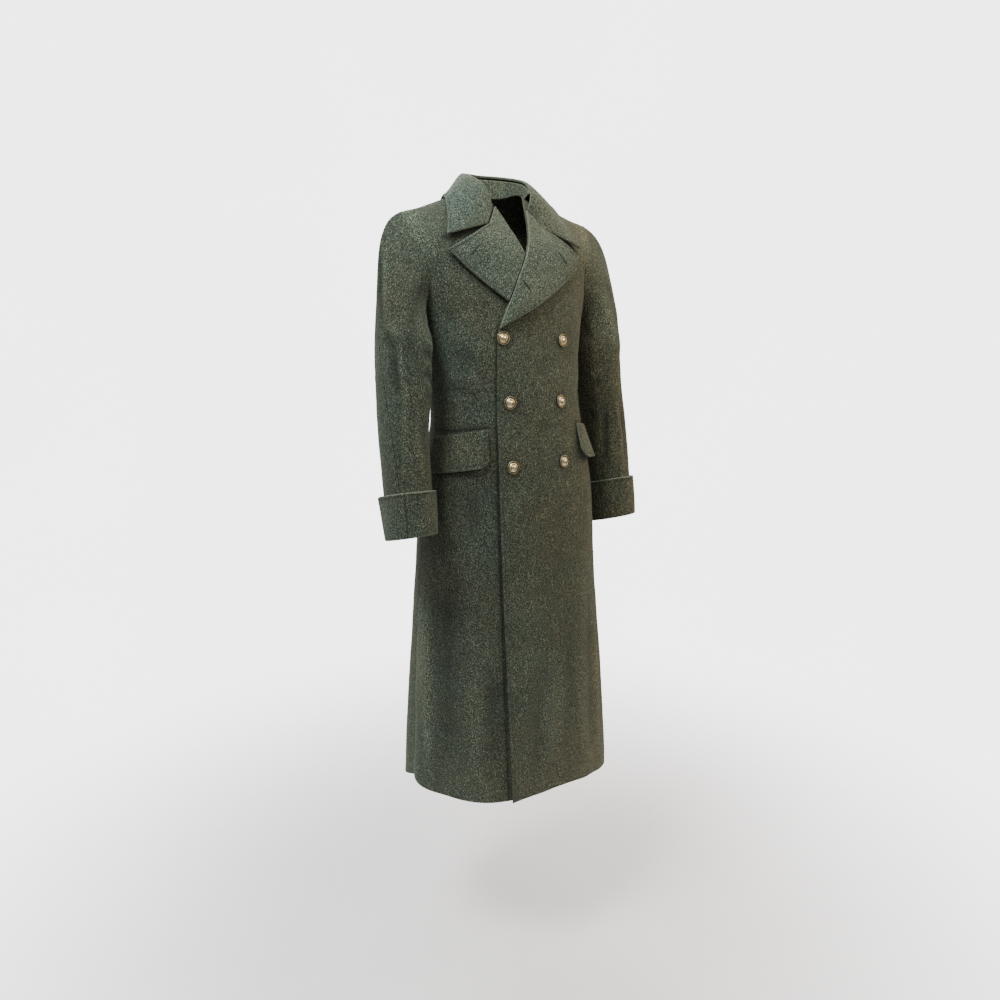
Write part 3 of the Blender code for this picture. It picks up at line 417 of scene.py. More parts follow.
BACK_CREASES = {
    -1: (
        ((0.150, 1.245), (0.060, 1.210), -6, 8, -1.8),
        ((0.150, 1.222), (0.070, 1.184), -5, 7, 1.2),
        ((0.146, 1.200), (0.052, 1.160), -4, 9, -1.4),
        ((0.146, 1.350), (0.104, 1.420), 6, 8, -1.8),
        ((0.132, 1.340), (0.090, 1.410), 5, 9, 1.1),
        ((0.118, 1.330), (0.060, 1.300), 4, 12, -0.9),
        ((0.094, 0.960), (0.108, 0.470), -5, 15, -2.4),
        ((0.154, 0.900), (0.172, 0.450), 4, 12, -1.9),
        ((0.124, 0.820), (0.138, 0.440), 3, 11, 1.5),
        ((0.036, 0.860), (0.044, 0.450), -3, 13, 1.4),
        ((0.010, 0.700), (0.016, 0.440), 2, 12, -1.2),
    ),
    1: (
        ((0.150, 1.240), (0.056, 1.202), -6, 8, -1.9),
        ((0.150, 1.216), (0.066, 1.172), -5, 8, 1.2),
        ((0.148, 1.192), (0.050, 1.150), -4, 9, -1.2),
        ((0.146, 1.345), (0.108, 1.412), 6, 8, -1.7),
        ((0.130, 1.332), (0.094, 1.400), 5, 9, 1.0),
        ((0.112, 1.322), (0.050, 1.296), 4, 12, -0.9),
        ((0.088, 0.940), (0.100, 0.460), -5, 15, -2.2),
        ((0.150, 0.920), (0.168, 0.440), 4, 12, -2.0),
        ((0.120, 0.800), (0.130, 0.430), 3, 11, 1.4),
        ((0.034, 0.880), (0.040, 0.440), -3, 13, 1.3),
        ((0.014, 0.740), (0.018, 0.430), 2, 12, -1.0),
    ),
}
SLEEVE_CREASE_SHARE = 1.35
SLEEVE_CREASES = {
    -1: (
        ((163, 1.490), (156, 1.345), 2, 5, 1.8),
        ((172, 1.480), (165, 1.340), 2, 7, -1.6),
        ((155, 1.352), (130, 1.322), 2, 5, 1.5),
        ((160, 1.336), (136, 1.302), 2, 6, -1.6),
        ((128, 1.322), (116, 1.235), -2, 5, 1.6),
        ((138, 1.310), (126, 1.220), -2, 7, -1.6),
        ((117, 1.250), (119, 1.150), 2, 5, 1.3),
        ((119, 1.165), (131, 1.078), 2, 5, 1.1),
        ((128, 1.160), (139, 1.080), 2, 7, -1.1),
        ((80, 1.322), (34, 1.300), 3, 5, 1.4),
        ((78, 1.304), (36, 1.280), 3, 5, -1.7),
        ((76, 1.286), (34, 1.260), 3, 5, 1.4),
        ((78, 1.268), (32, 1.243), 3, 5, -1.6),
        ((74, 1.250), (32, 1.226), 3, 5, 1.2),
        ((72, 1.232), (36, 1.206), 3, 6, -1.0),
        ((66, 1.385), (40, 1.330), 3, 6, -2.0),
        ((84, 1.395), (58, 1.342), 3, 7, 1.2),
        ((96, 1.450), (104, 1.290), -4, 11, -1.1),
        ((92, 1.200), (88, 1.080), 4, 11, 0.9),
        ((74, 1.190), (70, 1.080), 3, 10, -0.9),
        ((100, 1.130), (96, 1.076), 2, 9, -0.8),
        ((246, 1.400), (226, 1.300), 4, 9, -1.6),
        ((262, 1.300), (216, 1.262), 4, 7, -1.8),
        ((258, 1.276), (212, 1.242), 4, 7, 1.4),
        ((264, 1.250), (218, 1.220), 4, 7, -1.5),
        ((232, 1.210), (222, 1.090), 4, 10, -1.2),
        ((300, 1.310), (282, 1.200), 4, 10, -1.1),
        ((190, 1.240), (186, 1.090), 3, 10, 1.0),
    ),
    1: (
        ((88, 1.205), (89, 1.030), -3, 6, 1.7),
        ((62, 1.196), (45, 1.040), 3, 8, -1.9),
        ((46, 1.184), (30, 1.070), 3, 7, 1.0),
        ((104, 1.190), (108, 1.050), 3, 9, -1.2),
        ((20, 1.192), (33, 1.146), 2, 5, -1.7),
        ((12, 1.204), (28, 1.166), 2, 5, 1.3),
        ((34, 1.226), (60, 1.236), 3, 6, -1.3),
        ((30, 1.244), (64, 1.256), 3, 6, 1.1),
        ((120, 1.420), (92, 1.300), -4, 9, 1.0),
        ((140, 1.440), (120, 1.310), -4, 9, -1.4),
        ((160, 1.460), (150, 1.330), 3, 7, 1.4),
        ((150, 1.320), (126, 1.250), 3, 8, -1.2),
        ((118, 1.260), (100, 1.200), 3, 8, 1.0),
        ((66, 1.365), (40, 1.310), 3, 6, -1.9),
        ((84, 1.375), (58, 1.322), 3, 7, 1.1),
        ((244, 1.380), (224, 1.280), 4, 9, -1.6),
        ((260, 1.280), (214, 1.244), 4, 7, -1.8),
        ((256, 1.256), (212, 1.222), 4, 7, 1.4),
        ((262, 1.232), (216, 1.200), 4, 7, -1.4),
        ((230, 1.190), (220, 1.070), 4, 10, -1.2),
        ((298, 1.290), (280, 1.180), 4, 10, -1.1),
        ((172, 1.210), (166, 1.060), 3, 9, 1.0),
    ),
}

# The studio's backdrop
BACKDROP_RADIUS = 12.0

# The cloth is never quite even: swells of this height in mm, by their width in metres
SWELLS = ((0.085, 0.9), (0.032, 0.4))

# Worked buttonholes of the lapels, from end to end. Columns: side, down and over of one
# end, down and over of the other
BUTTONHOLES = (
    (-1, 0.225, 0.812, 0.192, 0.650),
    (1, 0.108, 0.525, 0.150, 0.738),
    (1, 0.500, 0.112, 0.550, 0.375),
)
BUTTONHOLE_HALF_WIDTH = 0.0010
BUTTONHOLE_CORD = 0.0008

# What is cut for each piece, laid flat: width, length and area of the cloth that shows
CUTS = {}


def through(stations, values, at):
    """A smooth curve through values at the stations, read at each place in at."""
    stations = np.asarray(stations, float)
    values = np.asarray(values, float)
    slopes = np.gradient(values, stations, axis=0)
    at = np.clip(np.asarray(at, float), stations[0], stations[-1])
    low = np.clip(np.searchsorted(stations, at, side="right") - 1, 0, len(stations) - 2)
    span = stations[low + 1] - stations[low]
    u = (at - stations[low]) / span
    extra = (1,) * (values.ndim - 1)
    u = u.reshape(u.shape + extra)
    span = span.reshape(span.shape + extra)
    near = (1 + 2 * u) * (1 - u) ** 2 * values[low] + u * (1 - u) ** 2 * span * slopes[low]
    far = u * u * (3 - 2 * u) * values[low + 1] - u * u * (1 - u) * span * slopes[low + 1]
    return near + far


def along_table(table, at):
    """A table of two columns, read as a smooth curve at each place in at."""
    stations, values = np.transpose(table)
    return through(stations, values, at)


def smooth_step(value, start, end):
    """0 before start, 1 past end, and a soft S between them."""
    u = np.clip((value - start) / (end - start), 0.0, 1.0)
    return u * u * (3 - 2 * u)


def unit(vectors):
    """The vectors at length one."""
    return vectors / np.linalg.norm(vectors, axis=-1, keepdims=True)


def bezier(p0, p1, p2, p3, u):
    """A cubic curve from p0 to p3, pulled towards p1 and p2."""
    return (1 - u) ** 3 * p0 + 3 * (1 - u) ** 2 * u * p1 + 3 * (1 - u) * u * u * p2 + u ** 3 * p3


TRUNK_TABLE = np.array(TRUNK)
FLANK_HALF = np.array(FLANK)
FLANK_TABLE = np.concatenate([FLANK_HALF[:0:-1] * (-1, 1, 1, 1), FLANK_HALF])


def section(side, along):
    """The four control points of one side's cross section, with x counted outwards."""
    centre_y, centre_h, reach, sink, flank, turn_x, turn_h = np.moveaxis(
        through(TRUNK_TABLE[:, 0], TRUNK_TABLE[:, 1:], along), -1, 0)
    edge = through(FLANK_TABLE[:, 0], FLANK_TABLE[:, 1:], along)
    skew = np.array(SKIRT_SKEW[side])
    wider, turned, _ = np.moveaxis(through(skew[:, 0], skew[:, 1:], along), -1, 0)
    _, _, pulled = np.moveaxis(through(skew[:, 0], skew[:, 1:], -np.abs(along)), -1, 0)
    reach = reach + wider
    flank = flank + turned
    edge = edge + pulled[..., None] * np.array([1.0, 0.0, 0.0])
    zero = np.zeros_like(centre_y)
    p0 = np.stack([zero, centre_y, centre_h], -1)
    p1 = np.stack([reach, centre_y, centre_h - sink], -1)
    p2 = edge + np.stack([-turn_x, flank, turn_h], -1)
    return p0, p1, p2, edge


def across_at(side, along, x):
    """The across value where one side's section at along is x past the centre line."""
    p0, p1, p2, p3 = (p[..., 0] for p in section(side, along))
    target = np.abs(x)
    u = target / (3 * p1)
    for _ in range(8):
        slope = 3 * (1 - u) ** 2 * (p1 - p0) + 6 * (1 - u) * u * (p2 - p1) + 3 * u * u * (p3 - p2)
        u = u + (target - bezier(p0, p1, p2, p3, u)) / slope
    return np.sign(x) * u


def fold_depth(side, along, across, height):
    """How far the skirt's soft folds push the cloth outwards."""
    depth = np.zeros_like(height)
    for fold_side, face, at_hem, at_top, half, start_h, most in FOLDS:
        if fold_side != side:
            continue
        grown = smooth_step(start_h - height, 0.0, start_h - 0.41)
        middle = at_top + (at_hem - at_top) * grown
        away = (across - middle) / half
        on_face = smooth_step(along * face, 0.2, 0.4)
        depth += most * grown * on_face * np.exp(-away * away)
    return depth * smooth_step(1.0 - across, 0.0, 0.06)


def hem_rise(side, along, across):
    """How far the hem lies above its level line; it fades out up the skirt."""
    table = np.array(HEM_LINE[side])
    front, back = np.moveaxis(through(table[:, 0], table[:, 1:], across), -1, 0)
    return np.where(along < 0, front, back) * smooth_step(np.abs(along), HEM_LINE_START, HEM_ALONG)


def hang(points, sleeve=False):
    """Lower the wearer's left side of chest and sleeves a little, as the coat hangs."""
    x, y, h = np.moveaxis(points, -1, 0)
    share = LEAN_TOP_SHARE + (1 - LEAN_TOP_SHARE) * smooth_step(-y, -0.01, 0.06)
    drift = UPPER_DRIFT * smooth_step(h, *UPPER_DRIFT_H)
    if sleeve:
        drift = drift + along_table(LEFT_ARM_SHIFT, h) * smooth_step(x, 0.0, 0.1)
        low = 1.0 - smooth_step(h, *CUFF_LEAN_H)
        h = h + CUFF_LEAN * (x - np.sign(x) * CUFF_LEAN_X) * low
    else:
        drift = drift + HEM_DRIFT * (1.0 - smooth_step(h, *HEM_DRIFT_H))
        share = share * smooth_step(h, *LEAN_STARTS_H)
    return np.stack([x + drift, y, h - LEAN * x * share], -1)


def trunk_bare(side, along, across):
    """The trunk surface before the coat's hang is applied."""
    p0, p1, p2, p3 = section(side, along)
    u = np.abs(across)[..., None]
    points = bezier(p0, p1, p2, p3, u)
    outward = points[..., :2] - np.array([0.0, -0.02])
    depth = fold_depth(side, along, np.abs(across), points[..., 2])
    points[..., :2] += unit(outward) * depth[..., None]
    points[..., 2] += hem_rise(side, along, np.abs(across))
    points[..., 0] *= side * np.where(across < 0, -1.0, 1.0)
    return points


def trunk(side, along, across):
    """Points of the trunk surface, and its outward normals."""
    along, across = np.broadcast_arrays(np.asarray(along, float), np.asarray(across, float))
    ahead = hang(trunk_bare(side, along + STEP, across))
    behind = hang(trunk_bare(side, along - STEP, across))
    right = hang(trunk_bare(side, along, across + STEP))
    left = hang(trunk_bare(side, along, across - STEP))
    normals = unit(np.cross(right - left, ahead - behind)) * side
    return hang(trunk_bare(side, along, across)), normals


def on_front(side, x, height):
    """along and across of the front's point at x past the centre and at a height."""
    x, height = np.broadcast_arrays(np.asarray(x, float), np.asarray(height, float))
    along = height - SHOULDER_H
    for _ in range(30):
        reached = trunk_bare(side, along, across_at(side, along, x))[..., 2]
        along = np.minimum(along + 0.7 * (height - reached), -0.001)
    return along, across_at(side, along, x)


def lap_offset(along, x):
    """How far the left front is lifted off the trunk where it lies on the right front."""
    beside = 1.0 - smooth_step(x, *LAP_SIDE_FADE)
    below = 1.0 - smooth_step(along, *LAP_TOP_FADE)
    return LAP_RISE * beside * below


def front_surface(side, along, across, x):
    """Outer points and normals of a front panel, the left one lifted over the right."""
    points, normals = trunk(side, along, across)
    if side > 0:
        points = points + normals * lap_offset(along, x)[..., None]
    return points, normals


def front_place(side, x, height):
    """Outer points and normals of a front at x past the centre and a height."""
    x, height = np.broadcast_arrays(np.asarray(x, float), np.asarray(height, float))
    along, across = on_front(side, x, height)
    return front_surface(side, along, across, x)


def bare_place(along, x):
    """Points and normals of the left trunk before the hang, at along and x."""
    along, x = np.broadcast_arrays(np.asarray(along, float), np.asarray(x, float))
    across = across_at(1, along, x)
    ahead = trunk_bare(1, along + STEP, across) - trunk_bare(1, along - STEP, across)
    right = trunk_bare(1, along, across + STEP) - trunk_bare(1, along, across - STEP)
    return trunk_bare(1, along, across), unit(np.cross(right, ahead))


def bare_front(x, height):
    """Point and normal of the left front before the hang, at x and a height."""
    along, _ = on_front(1, x, height)
    return bare_place(along, x)


def armhole_across(along):
    """How far across the armhole's edge lies; 1 is the flank, at the underarm."""
    way = np.clip(np.abs(along) / UNDERARM_ALONG, 0.0, 1.0)
    middle = np.where(along < 0, ARMHOLE_SCOOP_FRONT, ARMHOLE_SCOOP_BACK)
    scoop = np.abs(np.sin(math.pi * way)) ** ARMHOLE_ROUNDING
    inset = np.sqrt(1 - way ** 4) * (ARMHOLE_INSET + middle * scoop)
    return 1.0 - inset


def side_limit(along):
    """The outer end of a panel's row: side seam below the underarm, armhole above it.

    At the armhole the cloth goes on a little under the sleeve, so that no light shows.
    """
    gap = SEAM_GAP / 2 / PANEL_WIDTH
    tucked = ARMHOLE_TUCK / PANEL_WIDTH
    return np.where(np.abs(along) >= UNDERARM_ALONG, 1.0 - gap, armhole_across(along) + tucked)


def lengths(points, axis):
    """Distances from the first row or column to each one, measured over the cloth."""
    steps = np.linalg.norm(np.diff(points, axis=axis), axis=-1)
    run = np.cumsum(steps, axis=axis)
    return np.concatenate([np.zeros_like(np.take(run, [0], axis=axis)), run], axis=axis)


def spread(length, first, last, step):
    """Shares from 0 to 1 for lines of these lengths, crowded beside both edges."""
    length = np.atleast_1d(length)[:, None]
    near = np.array(EDGE_STEPS[first]) * 0.001 / length
    far = 1 - np.array(EDGE_STEPS[last])[::-1] * 0.001 / length
    room = length.max() - (EDGE_STEPS[first][-1] + EDGE_STEPS[last][-1]) * 0.001
    count = max(2, int(math.ceil(room / step)))
    share = np.linspace(0, 1, count + 1)[None, 1:-1]
    middle = near[:, -1:] + (far[:, :1] - near[:, -1:]) * share
    return np.concatenate([near, middle, far], axis=1)


def panel_ends(side, along):
    """across at both ends of a panel's rows; along is negative on the front."""
    x = np.where(along < BREAK_ALONG, along_table(FRONT_EDGE, along), along_table(ROLL_LINE, along))
    back_x = np.where(along > NAPE_ALONG, 0.0, along_table(NECKLINE_BACK, along))
    x = np.where(along < 0, x, np.maximum(back_x, SEAM_GAP / 2))
    return across_at(side, along, x), side_limit(along)


def panel_rows(side, face, step):
    """The along values of a panel's rows, evenly spaced over the cloth, hem to top."""
    skirt = np.linspace(HEM_ALONG, UNDERARM_ALONG, 700)
    yoke = UNDERARM_ALONG * np.cos(np.linspace(0, math.pi / 2, 1600)[1:])
    along = face * np.concatenate([skirt, np.maximum(yoke, SEAM_GAP / 2)])
    inner, outer = panel_ends(side, along)
    lines = np.stack([trunk_bare(side, along, across) for across in (inner, (inner + outer) / 2, outer)], 1)
    run = np.concatenate([[0.0], np.cumsum(np.linalg.norm(np.diff(lines, axis=0), axis=-1).max(axis=1))])
    return np.interp(spread(run[-1], "free", "seam", step)[0] * run[-1], run, along)


def panel(side, face, first, step):
    """Grid of a front (face -1) or back (face 1): points, normals, along, x."""
    along = panel_rows(side, face, step)
    inner, outer = panel_ends(side, along)
    tries = inner[:, None] + (outer - inner)[:, None] * np.linspace(0, 1, 24)[None, :]
    widths = lengths(trunk_bare(side, np.broadcast_to(along[:, None], tries.shape), tries), 1)[:, -1]
    share = spread(widths, first, "armhole", step)
    across = inner[:, None] + (outer - inner)[:, None] * share
    along = np.broadcast_to(along[:, None], across.shape)
    x = trunk_bare(side, along, across)[..., 0] * side
    if face < 0:
        points, normals = front_surface(side, along, across, x)
    else:
        points, normals = trunk(side, along, across)
    return points, normals, along, x


def arm_ring(down, turn):
    """A point of the sleeve below the armpit, on the left side before the hang."""
    table = np.array(ARM)
    x, y, h, half_x, half_y = np.moveaxis(through(table[:, 0], table[:, 1:], down), -1, 0)
    path = through(table[:, 0], table[:, 1:4], down + 0.01) - through(table[:, 0], table[:, 1:4], down - 0.01)
    way = unit(path)
    outwards = unit(np.array([1.0, 0, 0]) - way * way[..., :1])
    forwards = np.cross(way, outwards)
    centre = np.stack([x, y, h], -1)
    return (centre - outwards * (half_x * np.cos(turn))[..., None]
            + forwards * (half_y * np.sin(turn))[..., None]), way


def armhole_edge(turn):
    """The armhole's loop on the left: points, trunk normals and the way out into the sleeve."""
    along = -UNDERARM_ALONG * np.cos(np.mod(turn, 2 * math.pi) / 2)
    across = armhole_across(along)
    points = trunk_bare(1, along, across)
    ahead = trunk_bare(1, along + STEP, across) - trunk_bare(1, along - STEP, across)
    right = trunk_bare(1, along, across + STEP) - trunk_bare(1, along, across - STEP)
    normals = unit(np.cross(right, ahead))
    return points, normals, unit(right)


def sleeve_surface(turn, way):
    """The sleeve on the left before the hang; way runs 0 to 1 over the cap, then 1 to 2."""
    turn, way = np.broadcast_arrays(np.asarray(turn, float), np.asarray(way, float))
    edge, normals, out = armhole_edge(turn)
    top = (1 - np.cos(turn)) / 2
    aside = np.minimum(2 * np.sqrt(top), 1.0) * CAP_SEAM_GAPS
    start = edge + SEAM_GAP * (out * aside[..., None] + normals * (2 * (1 - top))[..., None])
    ring, down_way = arm_ring(np.zeros_like(turn), turn)
    chord = ring - start
    reach = np.linalg.norm(chord, axis=-1, keepdims=True)
    lateral = unit(out * (1 - CAP_OUTWARD) + np.array([CAP_OUTWARD, -CAP_FORWARD, CAP_RISE]))
    leave = chord * (1 - CAP_LEVEL * top)[..., None] + lateral * reach * (CAP_FULLNESS * top)[..., None]
    arrive = down_way * reach * (1 - CAP_SETTLE * top)[..., None]
    u = np.clip(way, 0, 1)[..., None]
    cap = ((1 + 2 * u) * (1 - u) ** 2 * start + u * (1 - u) ** 2 * leave
           + u * u * (3 - 2 * u) * ring - u * u * (1 - u) * arrive)
    arm, _ = arm_ring(np.clip(way - 1, 0, 1), turn)
    arm[..., 2] += CUFF_TILT * np.sin(turn) * smooth_step(way, CUFF_TILT_START_WAY, CUFF_TOP_DOWN + 1)
    return np.where(way[..., None] <= 1, cap, arm)


def sleeve_grid(side, turn, way):
    """Outer points and normals of a sleeve over a grid of turns and ways."""
    turn, way = np.broadcast_arrays(np.asarray(turn, float), np.asarray(way, float))
    step = 0.01
    mirror = np.array([side, 1.0, 1.0])
    points = hang(sleeve_surface(turn, way) * mirror, sleeve=True)
    around = hang(sleeve_surface(turn + step, way) * mirror, True) - hang(
        sleeve_surface(turn - step, way) * mirror, True)
    low = np.maximum(way - step, 0.0)
    high = np.minimum(way + step, 2.0)
    down = hang(sleeve_surface(turn, high) * mirror, True) - hang(sleeve_surface(turn, low) * mirror, True)
    normals = unit(np.cross(down, around)) * side
    _, panel_normals, out = (item * mirror for item in armhole_edge(turn))
    facing = np.clip(2 * np.sum(normals * panel_normals, -1), 0.0, 1.0)
    tilt = np.sum(normals * out, -1) * facing * np.clip(1 - way / CAP_SQUARE_WAY, 0.0, 1.0)
    return points, unit(normals - out * tilt[..., None])


def back_seam_turn(way):
    """The turn of the sleeve's back seam, which winds forward towards the cuff."""
    share = smooth_step(way, 0.3, 1.8)
    return np.radians(BACK_SEAM_TURN_TOP + (BACK_SEAM_TURN_CUFF - BACK_SEAM_TURN_TOP) * share)


def sleeve_ways(start, first, last, step):
    """Ways of a sleeve's rows from start to the hand, evenly spaced over the cloth."""
    way = np.linspace(start, 2, 800)
    lines = sleeve_surface(np.radians([0.0, 90.0, 180.0, 270.0])[None, :], way[:, None])
    run = np.concatenate([[0.0], np.cumsum(np.linalg.norm(np.diff(lines, axis=0), axis=-1).max(axis=1))])
    return np.interp(spread(run[-1], first, last, step)[0] * run[-1], run, way)


def blend(start, end, share):
    """A share of the way from one place to another."""
    return np.asarray(start) + (np.asarray(end) - np.asarray(start)) * np.asarray(share)[..., None]


def notch_line(share, corner, end):
    """The way from the gorge at the roll line, by the notch, to a lapel's or collar's point."""
    first = blend(corner, NOTCH, np.clip(share / NOTCH_SHARE, 0, 1))
    second = blend(NOTCH, end, np.clip((share - NOTCH_SHARE) / (1 - NOTCH_SHARE), 0, 1))
    return np.where((share < NOTCH_SHARE)[..., None], first, second)


def roll_point(along):
    """x past the centre and height of the roll line."""
    x = np.where(along < BREAK_ALONG, along_table(FRONT_EDGE, along), along_table(ROLL_LINE, along))
    across = across_at(1, along, x)
    return np.stack([x, trunk_bare(1, along, np.abs(across))[..., 2]], -1)


def lapel_outline(side, down, over):
    """x and height of the lapel's points; down runs from gorge to foot, over from roll to edge."""
    top_along = on_front(1, *GORGE_ROLL)[0]
    end_along = BREAK_ALONG + 0.006 if side > 0 else TUCK_START_ALONG
    way = top_along + (end_along - top_along) * down
    inner = roll_point(way) + (0.0005, 0.0)
    peak = np.array(LAPEL_PEAK)
    if side > 0:
        end_row = blend(inner[-1, 0], LAPEL_FOOT, over)
    else:
        tuck = TUCK_START_ALONG + (TUCK_END_ALONG - TUCK_START_ALONG) * over
        end_row = roll_point(tuck) * (-1, 1) + (TUCK_GAP, 0.0)
    end = end_row[0, -1]
    outer = blend(peak, end, down)
    belly_way = unit(np.array([-(peak - end)[1], (peak - end)[0]]))
    outer = outer - LAPEL_BELLY * np.sin(math.pi * down)[..., None] * belly_way
    kink = notch_line(over, GORGE_ROLL, peak) - blend(GORGE_ROLL, peak, over)
    bend = end_row - blend(inner[-1, 0], end, over)
    place = blend(inner, outer, over) + kink * ((1 - down) ** 3)[..., None] + bend * (down ** 3)[..., None]
    return place - (0.0, SEAM_GAP)


def lapel_place(side, down, over):
    """Outer points and normals of a lapel over a grid of down and over."""
    place = lapel_outline(side, down, over)
    points, normals = front_place(side, place[..., 0], place[..., 1])
    lift = 2 * SEAM_GAP + LAPEL_ROLL * np.sin(math.pi * over) + LAPEL_LIFT * over ** 2
    return points + normals * (lift + DOUBLE_WALL)[..., None], normals


def through_both_halves(stations, places, end, at):
    """A curve through places and an end on the left, level where it crosses to the right."""
    stations = np.append(stations, 1.0)
    places = np.concatenate([places, end[None]])
    mirrored = places[:0:-1] * (-1, 1, 1)
    return through(np.append(-stations[:0:-1], stations), np.concatenate([mirrored, places]), at)


def collar_curves(round_way):
    """Roll edge and outer edge of the collar's left half, before the hang."""
    roll_rows, edge_rows = np.array(COLLAR_ROLL), np.array(COLLAR_EDGE)
    gorge, gorge_normal = bare_front(*GORGE_ROLL)
    gorge = gorge + gorge_normal * 2 * SEAM_GAP
    roll = through_both_halves(roll_rows[:, 0], roll_rows[:, 1:], gorge, round_way)
    tip, tip_normal = bare_front(*COLLAR_TIP)
    tip = tip + tip_normal * COLLAR_TIP_LIFT
    places, normals = bare_place(edge_rows[:, 1], edge_rows[:, 2])
    places = places + normals * edge_rows[:, 3:4]
    edge = through_both_halves(edge_rows[:, 0], places, tip, round_way)
    return roll, edge


def outward_of(points):
    """Level directions from the middle of the neck to the points."""
    return unit(points * (1, 1, 0) - (0, COLLAR_CENTRE_Y, 0))


def collar_end(over):
    """The front end of the collar's fall, from the gorge by the notch to the tip."""
    outline = notch_line(over, GORGE_ROLL, COLLAR_TIP)
    points, normals = bare_front(outline[:, 0], outline[:, 1])
    lift = 2 * SEAM_GAP + (COLLAR_TIP_LIFT - 2 * SEAM_GAP) * over ** COLLAR_TIP_CURL
    return points + normals * lift[:, None]


def neckline(round_way):
    """along and x of the stand's foot round the neckline."""
    rows = np.array(NECKLINE)
    return np.moveaxis(through(rows[:, 0], rows[:, 1:], round_way), -1, 0)


def nearest_on_trunk(points, along, x):
    """along and x of the left trunk's nearest places, and the points' heights off it."""
    for _ in range(10):
        by_along = (bare_place(along + STEP, x)[0] - bare_place(along - STEP, x)[0]) / (2 * STEP)
        by_x = (bare_place(along, x + STEP)[0] - bare_place(along, x - STEP)[0]) / (2 * STEP)
        gap = points - bare_place(along, x)[0]
        aa, xx, ax = (np.sum(p * q, -1) for p, q in ((by_along, by_along), (by_x, by_x), (by_along, by_x)))
        ga, gx = np.sum(gap * by_along, -1), np.sum(gap * by_x, -1)
        whole = aa * xx - ax * ax
        along = along + np.clip((ga * xx - gx * ax) / whole, -0.01, 0.01)
        x = np.maximum(x + np.clip((gx * aa - ga * ax) / whole, -0.01, 0.01), 0.0)
    place, normal = bare_place(along, x)
    return along, x, np.sum((points - place) * normal, -1)


def clear_of_coat(face, way, over):
    """The collar's inner face, softly raised where it would come too close to the coat."""
    size = np.abs(way)
    foot_along, foot_x = neckline(size)
    tip_along = on_front(1, *COLLAR_TIP)[0]
    rows = np.concatenate([np.array(COLLAR_EDGE)[:, :3], [[1.0, tip_along, COLLAR_TIP[0]]]])
    edge_along, edge_x = np.moveaxis(through(rows[:, 0], rows[:, 1:], size), -1, 0)
    along, x, height = nearest_on_trunk(
        face, foot_along + (edge_along - foot_along) * over, foot_x + (edge_x - foot_x) * over)
    least = 2 * SEAM_GAP + np.where((way > 0) & (along < 0), lap_offset(along, x), 0.0)
    clear = (height + least + np.sqrt((height - least) ** 2 + COLLAR_SOFTEN ** 2)) / 2
    return face + bare_place(along, x)[1] * np.maximum(clear - height, 0.0)[..., None]


def collar_face(way, over):
    """The inner face of the collar's fall; way runs -1 to 1 and over from roll to edge."""
    size = np.abs(way)
    roll, edge = collar_curves(size)
    out = outward_of(roll)
    up = np.array([0.0, 0.0, 1.0])
    fade = (1 - smooth_step(size, 0.75, 1.0))[..., None]
    fall = unit(edge - roll)
    swell = unit(out - fall * np.sum(out * fall, -1, keepdims=True))
    turned = (out * COLLAR_TURN_OUT + up * COLLAR_TURN_UP) * fade
    p1 = roll + turned + (edge - roll) * COLLAR_END_SLOPE * (1 - fade)
    p2 = edge + (roll - edge) * COLLAR_EDGE_SLOPE + swell * COLLAR_SWELL * fade
    face = bezier(roll, p1, p2, edge, over[..., None])
    face += (collar_end(over[0]) - face[-1])[None] * smooth_step(size, 0.80, 1.0)[..., None]
    face = clear_of_coat(face, way, over)
    face[..., 0] *= np.where(way < 0, -1.0, 1.0)
    return face


def grid_normals(points):
    """Normals of a grid from its own neighbours."""
    return unit(np.cross(np.gradient(points, axis=0), np.gradient(points, axis=1)))


def creases(table, across_mm, height):
    """Height in metres of soft troughs and ridges; across_mm turns a place to metres."""
    relief = np.zeros_like(height)
    for (x0, h0), (x1, h1), bow, half, depth in table:
        run_x, run_h = (x1 - x0) * across_mm[1], h1 - h0
        length = math.hypot(run_x, run_h)
        from_x, from_h = (across_mm[0] - x0) * across_mm[1], height - h0
        t = (from_x * run_x + from_h * run_h) / length ** 2
        aside = (from_x * run_h - from_h * run_x) / length
        aside = aside - bow * 0.001 * 4 * t * (1 - t)
        ends = smooth_step(t, -0.05, 0.30) * (1 - smooth_step(t, 0.70, 1.05))
        relief += depth * 0.001 * ends * np.exp(-(aside / (half * 0.001)) ** 2)
    return relief


def swells(points):
    """The slow unevenness of heavy cloth, in metres, the same wherever two pieces meet."""
    flat = points.reshape(-1, 3)
    relief = np.zeros(len(flat))
    for width, height in SWELLS:
        near = (flat / width).tolist()
        relief += height * 0.001 * np.array([noise.noise(Vector(place)) for place in near])
    return relief.reshape(points.shape[:-1])


def round_off(distance_mm, width_mm):
    """1 at an edge, falling in a quarter circle to 0 at width_mm."""
    left = np.clip(1 - distance_mm / width_mm, 0, 1)
    return 1 - np.sqrt(1 - left ** 2)


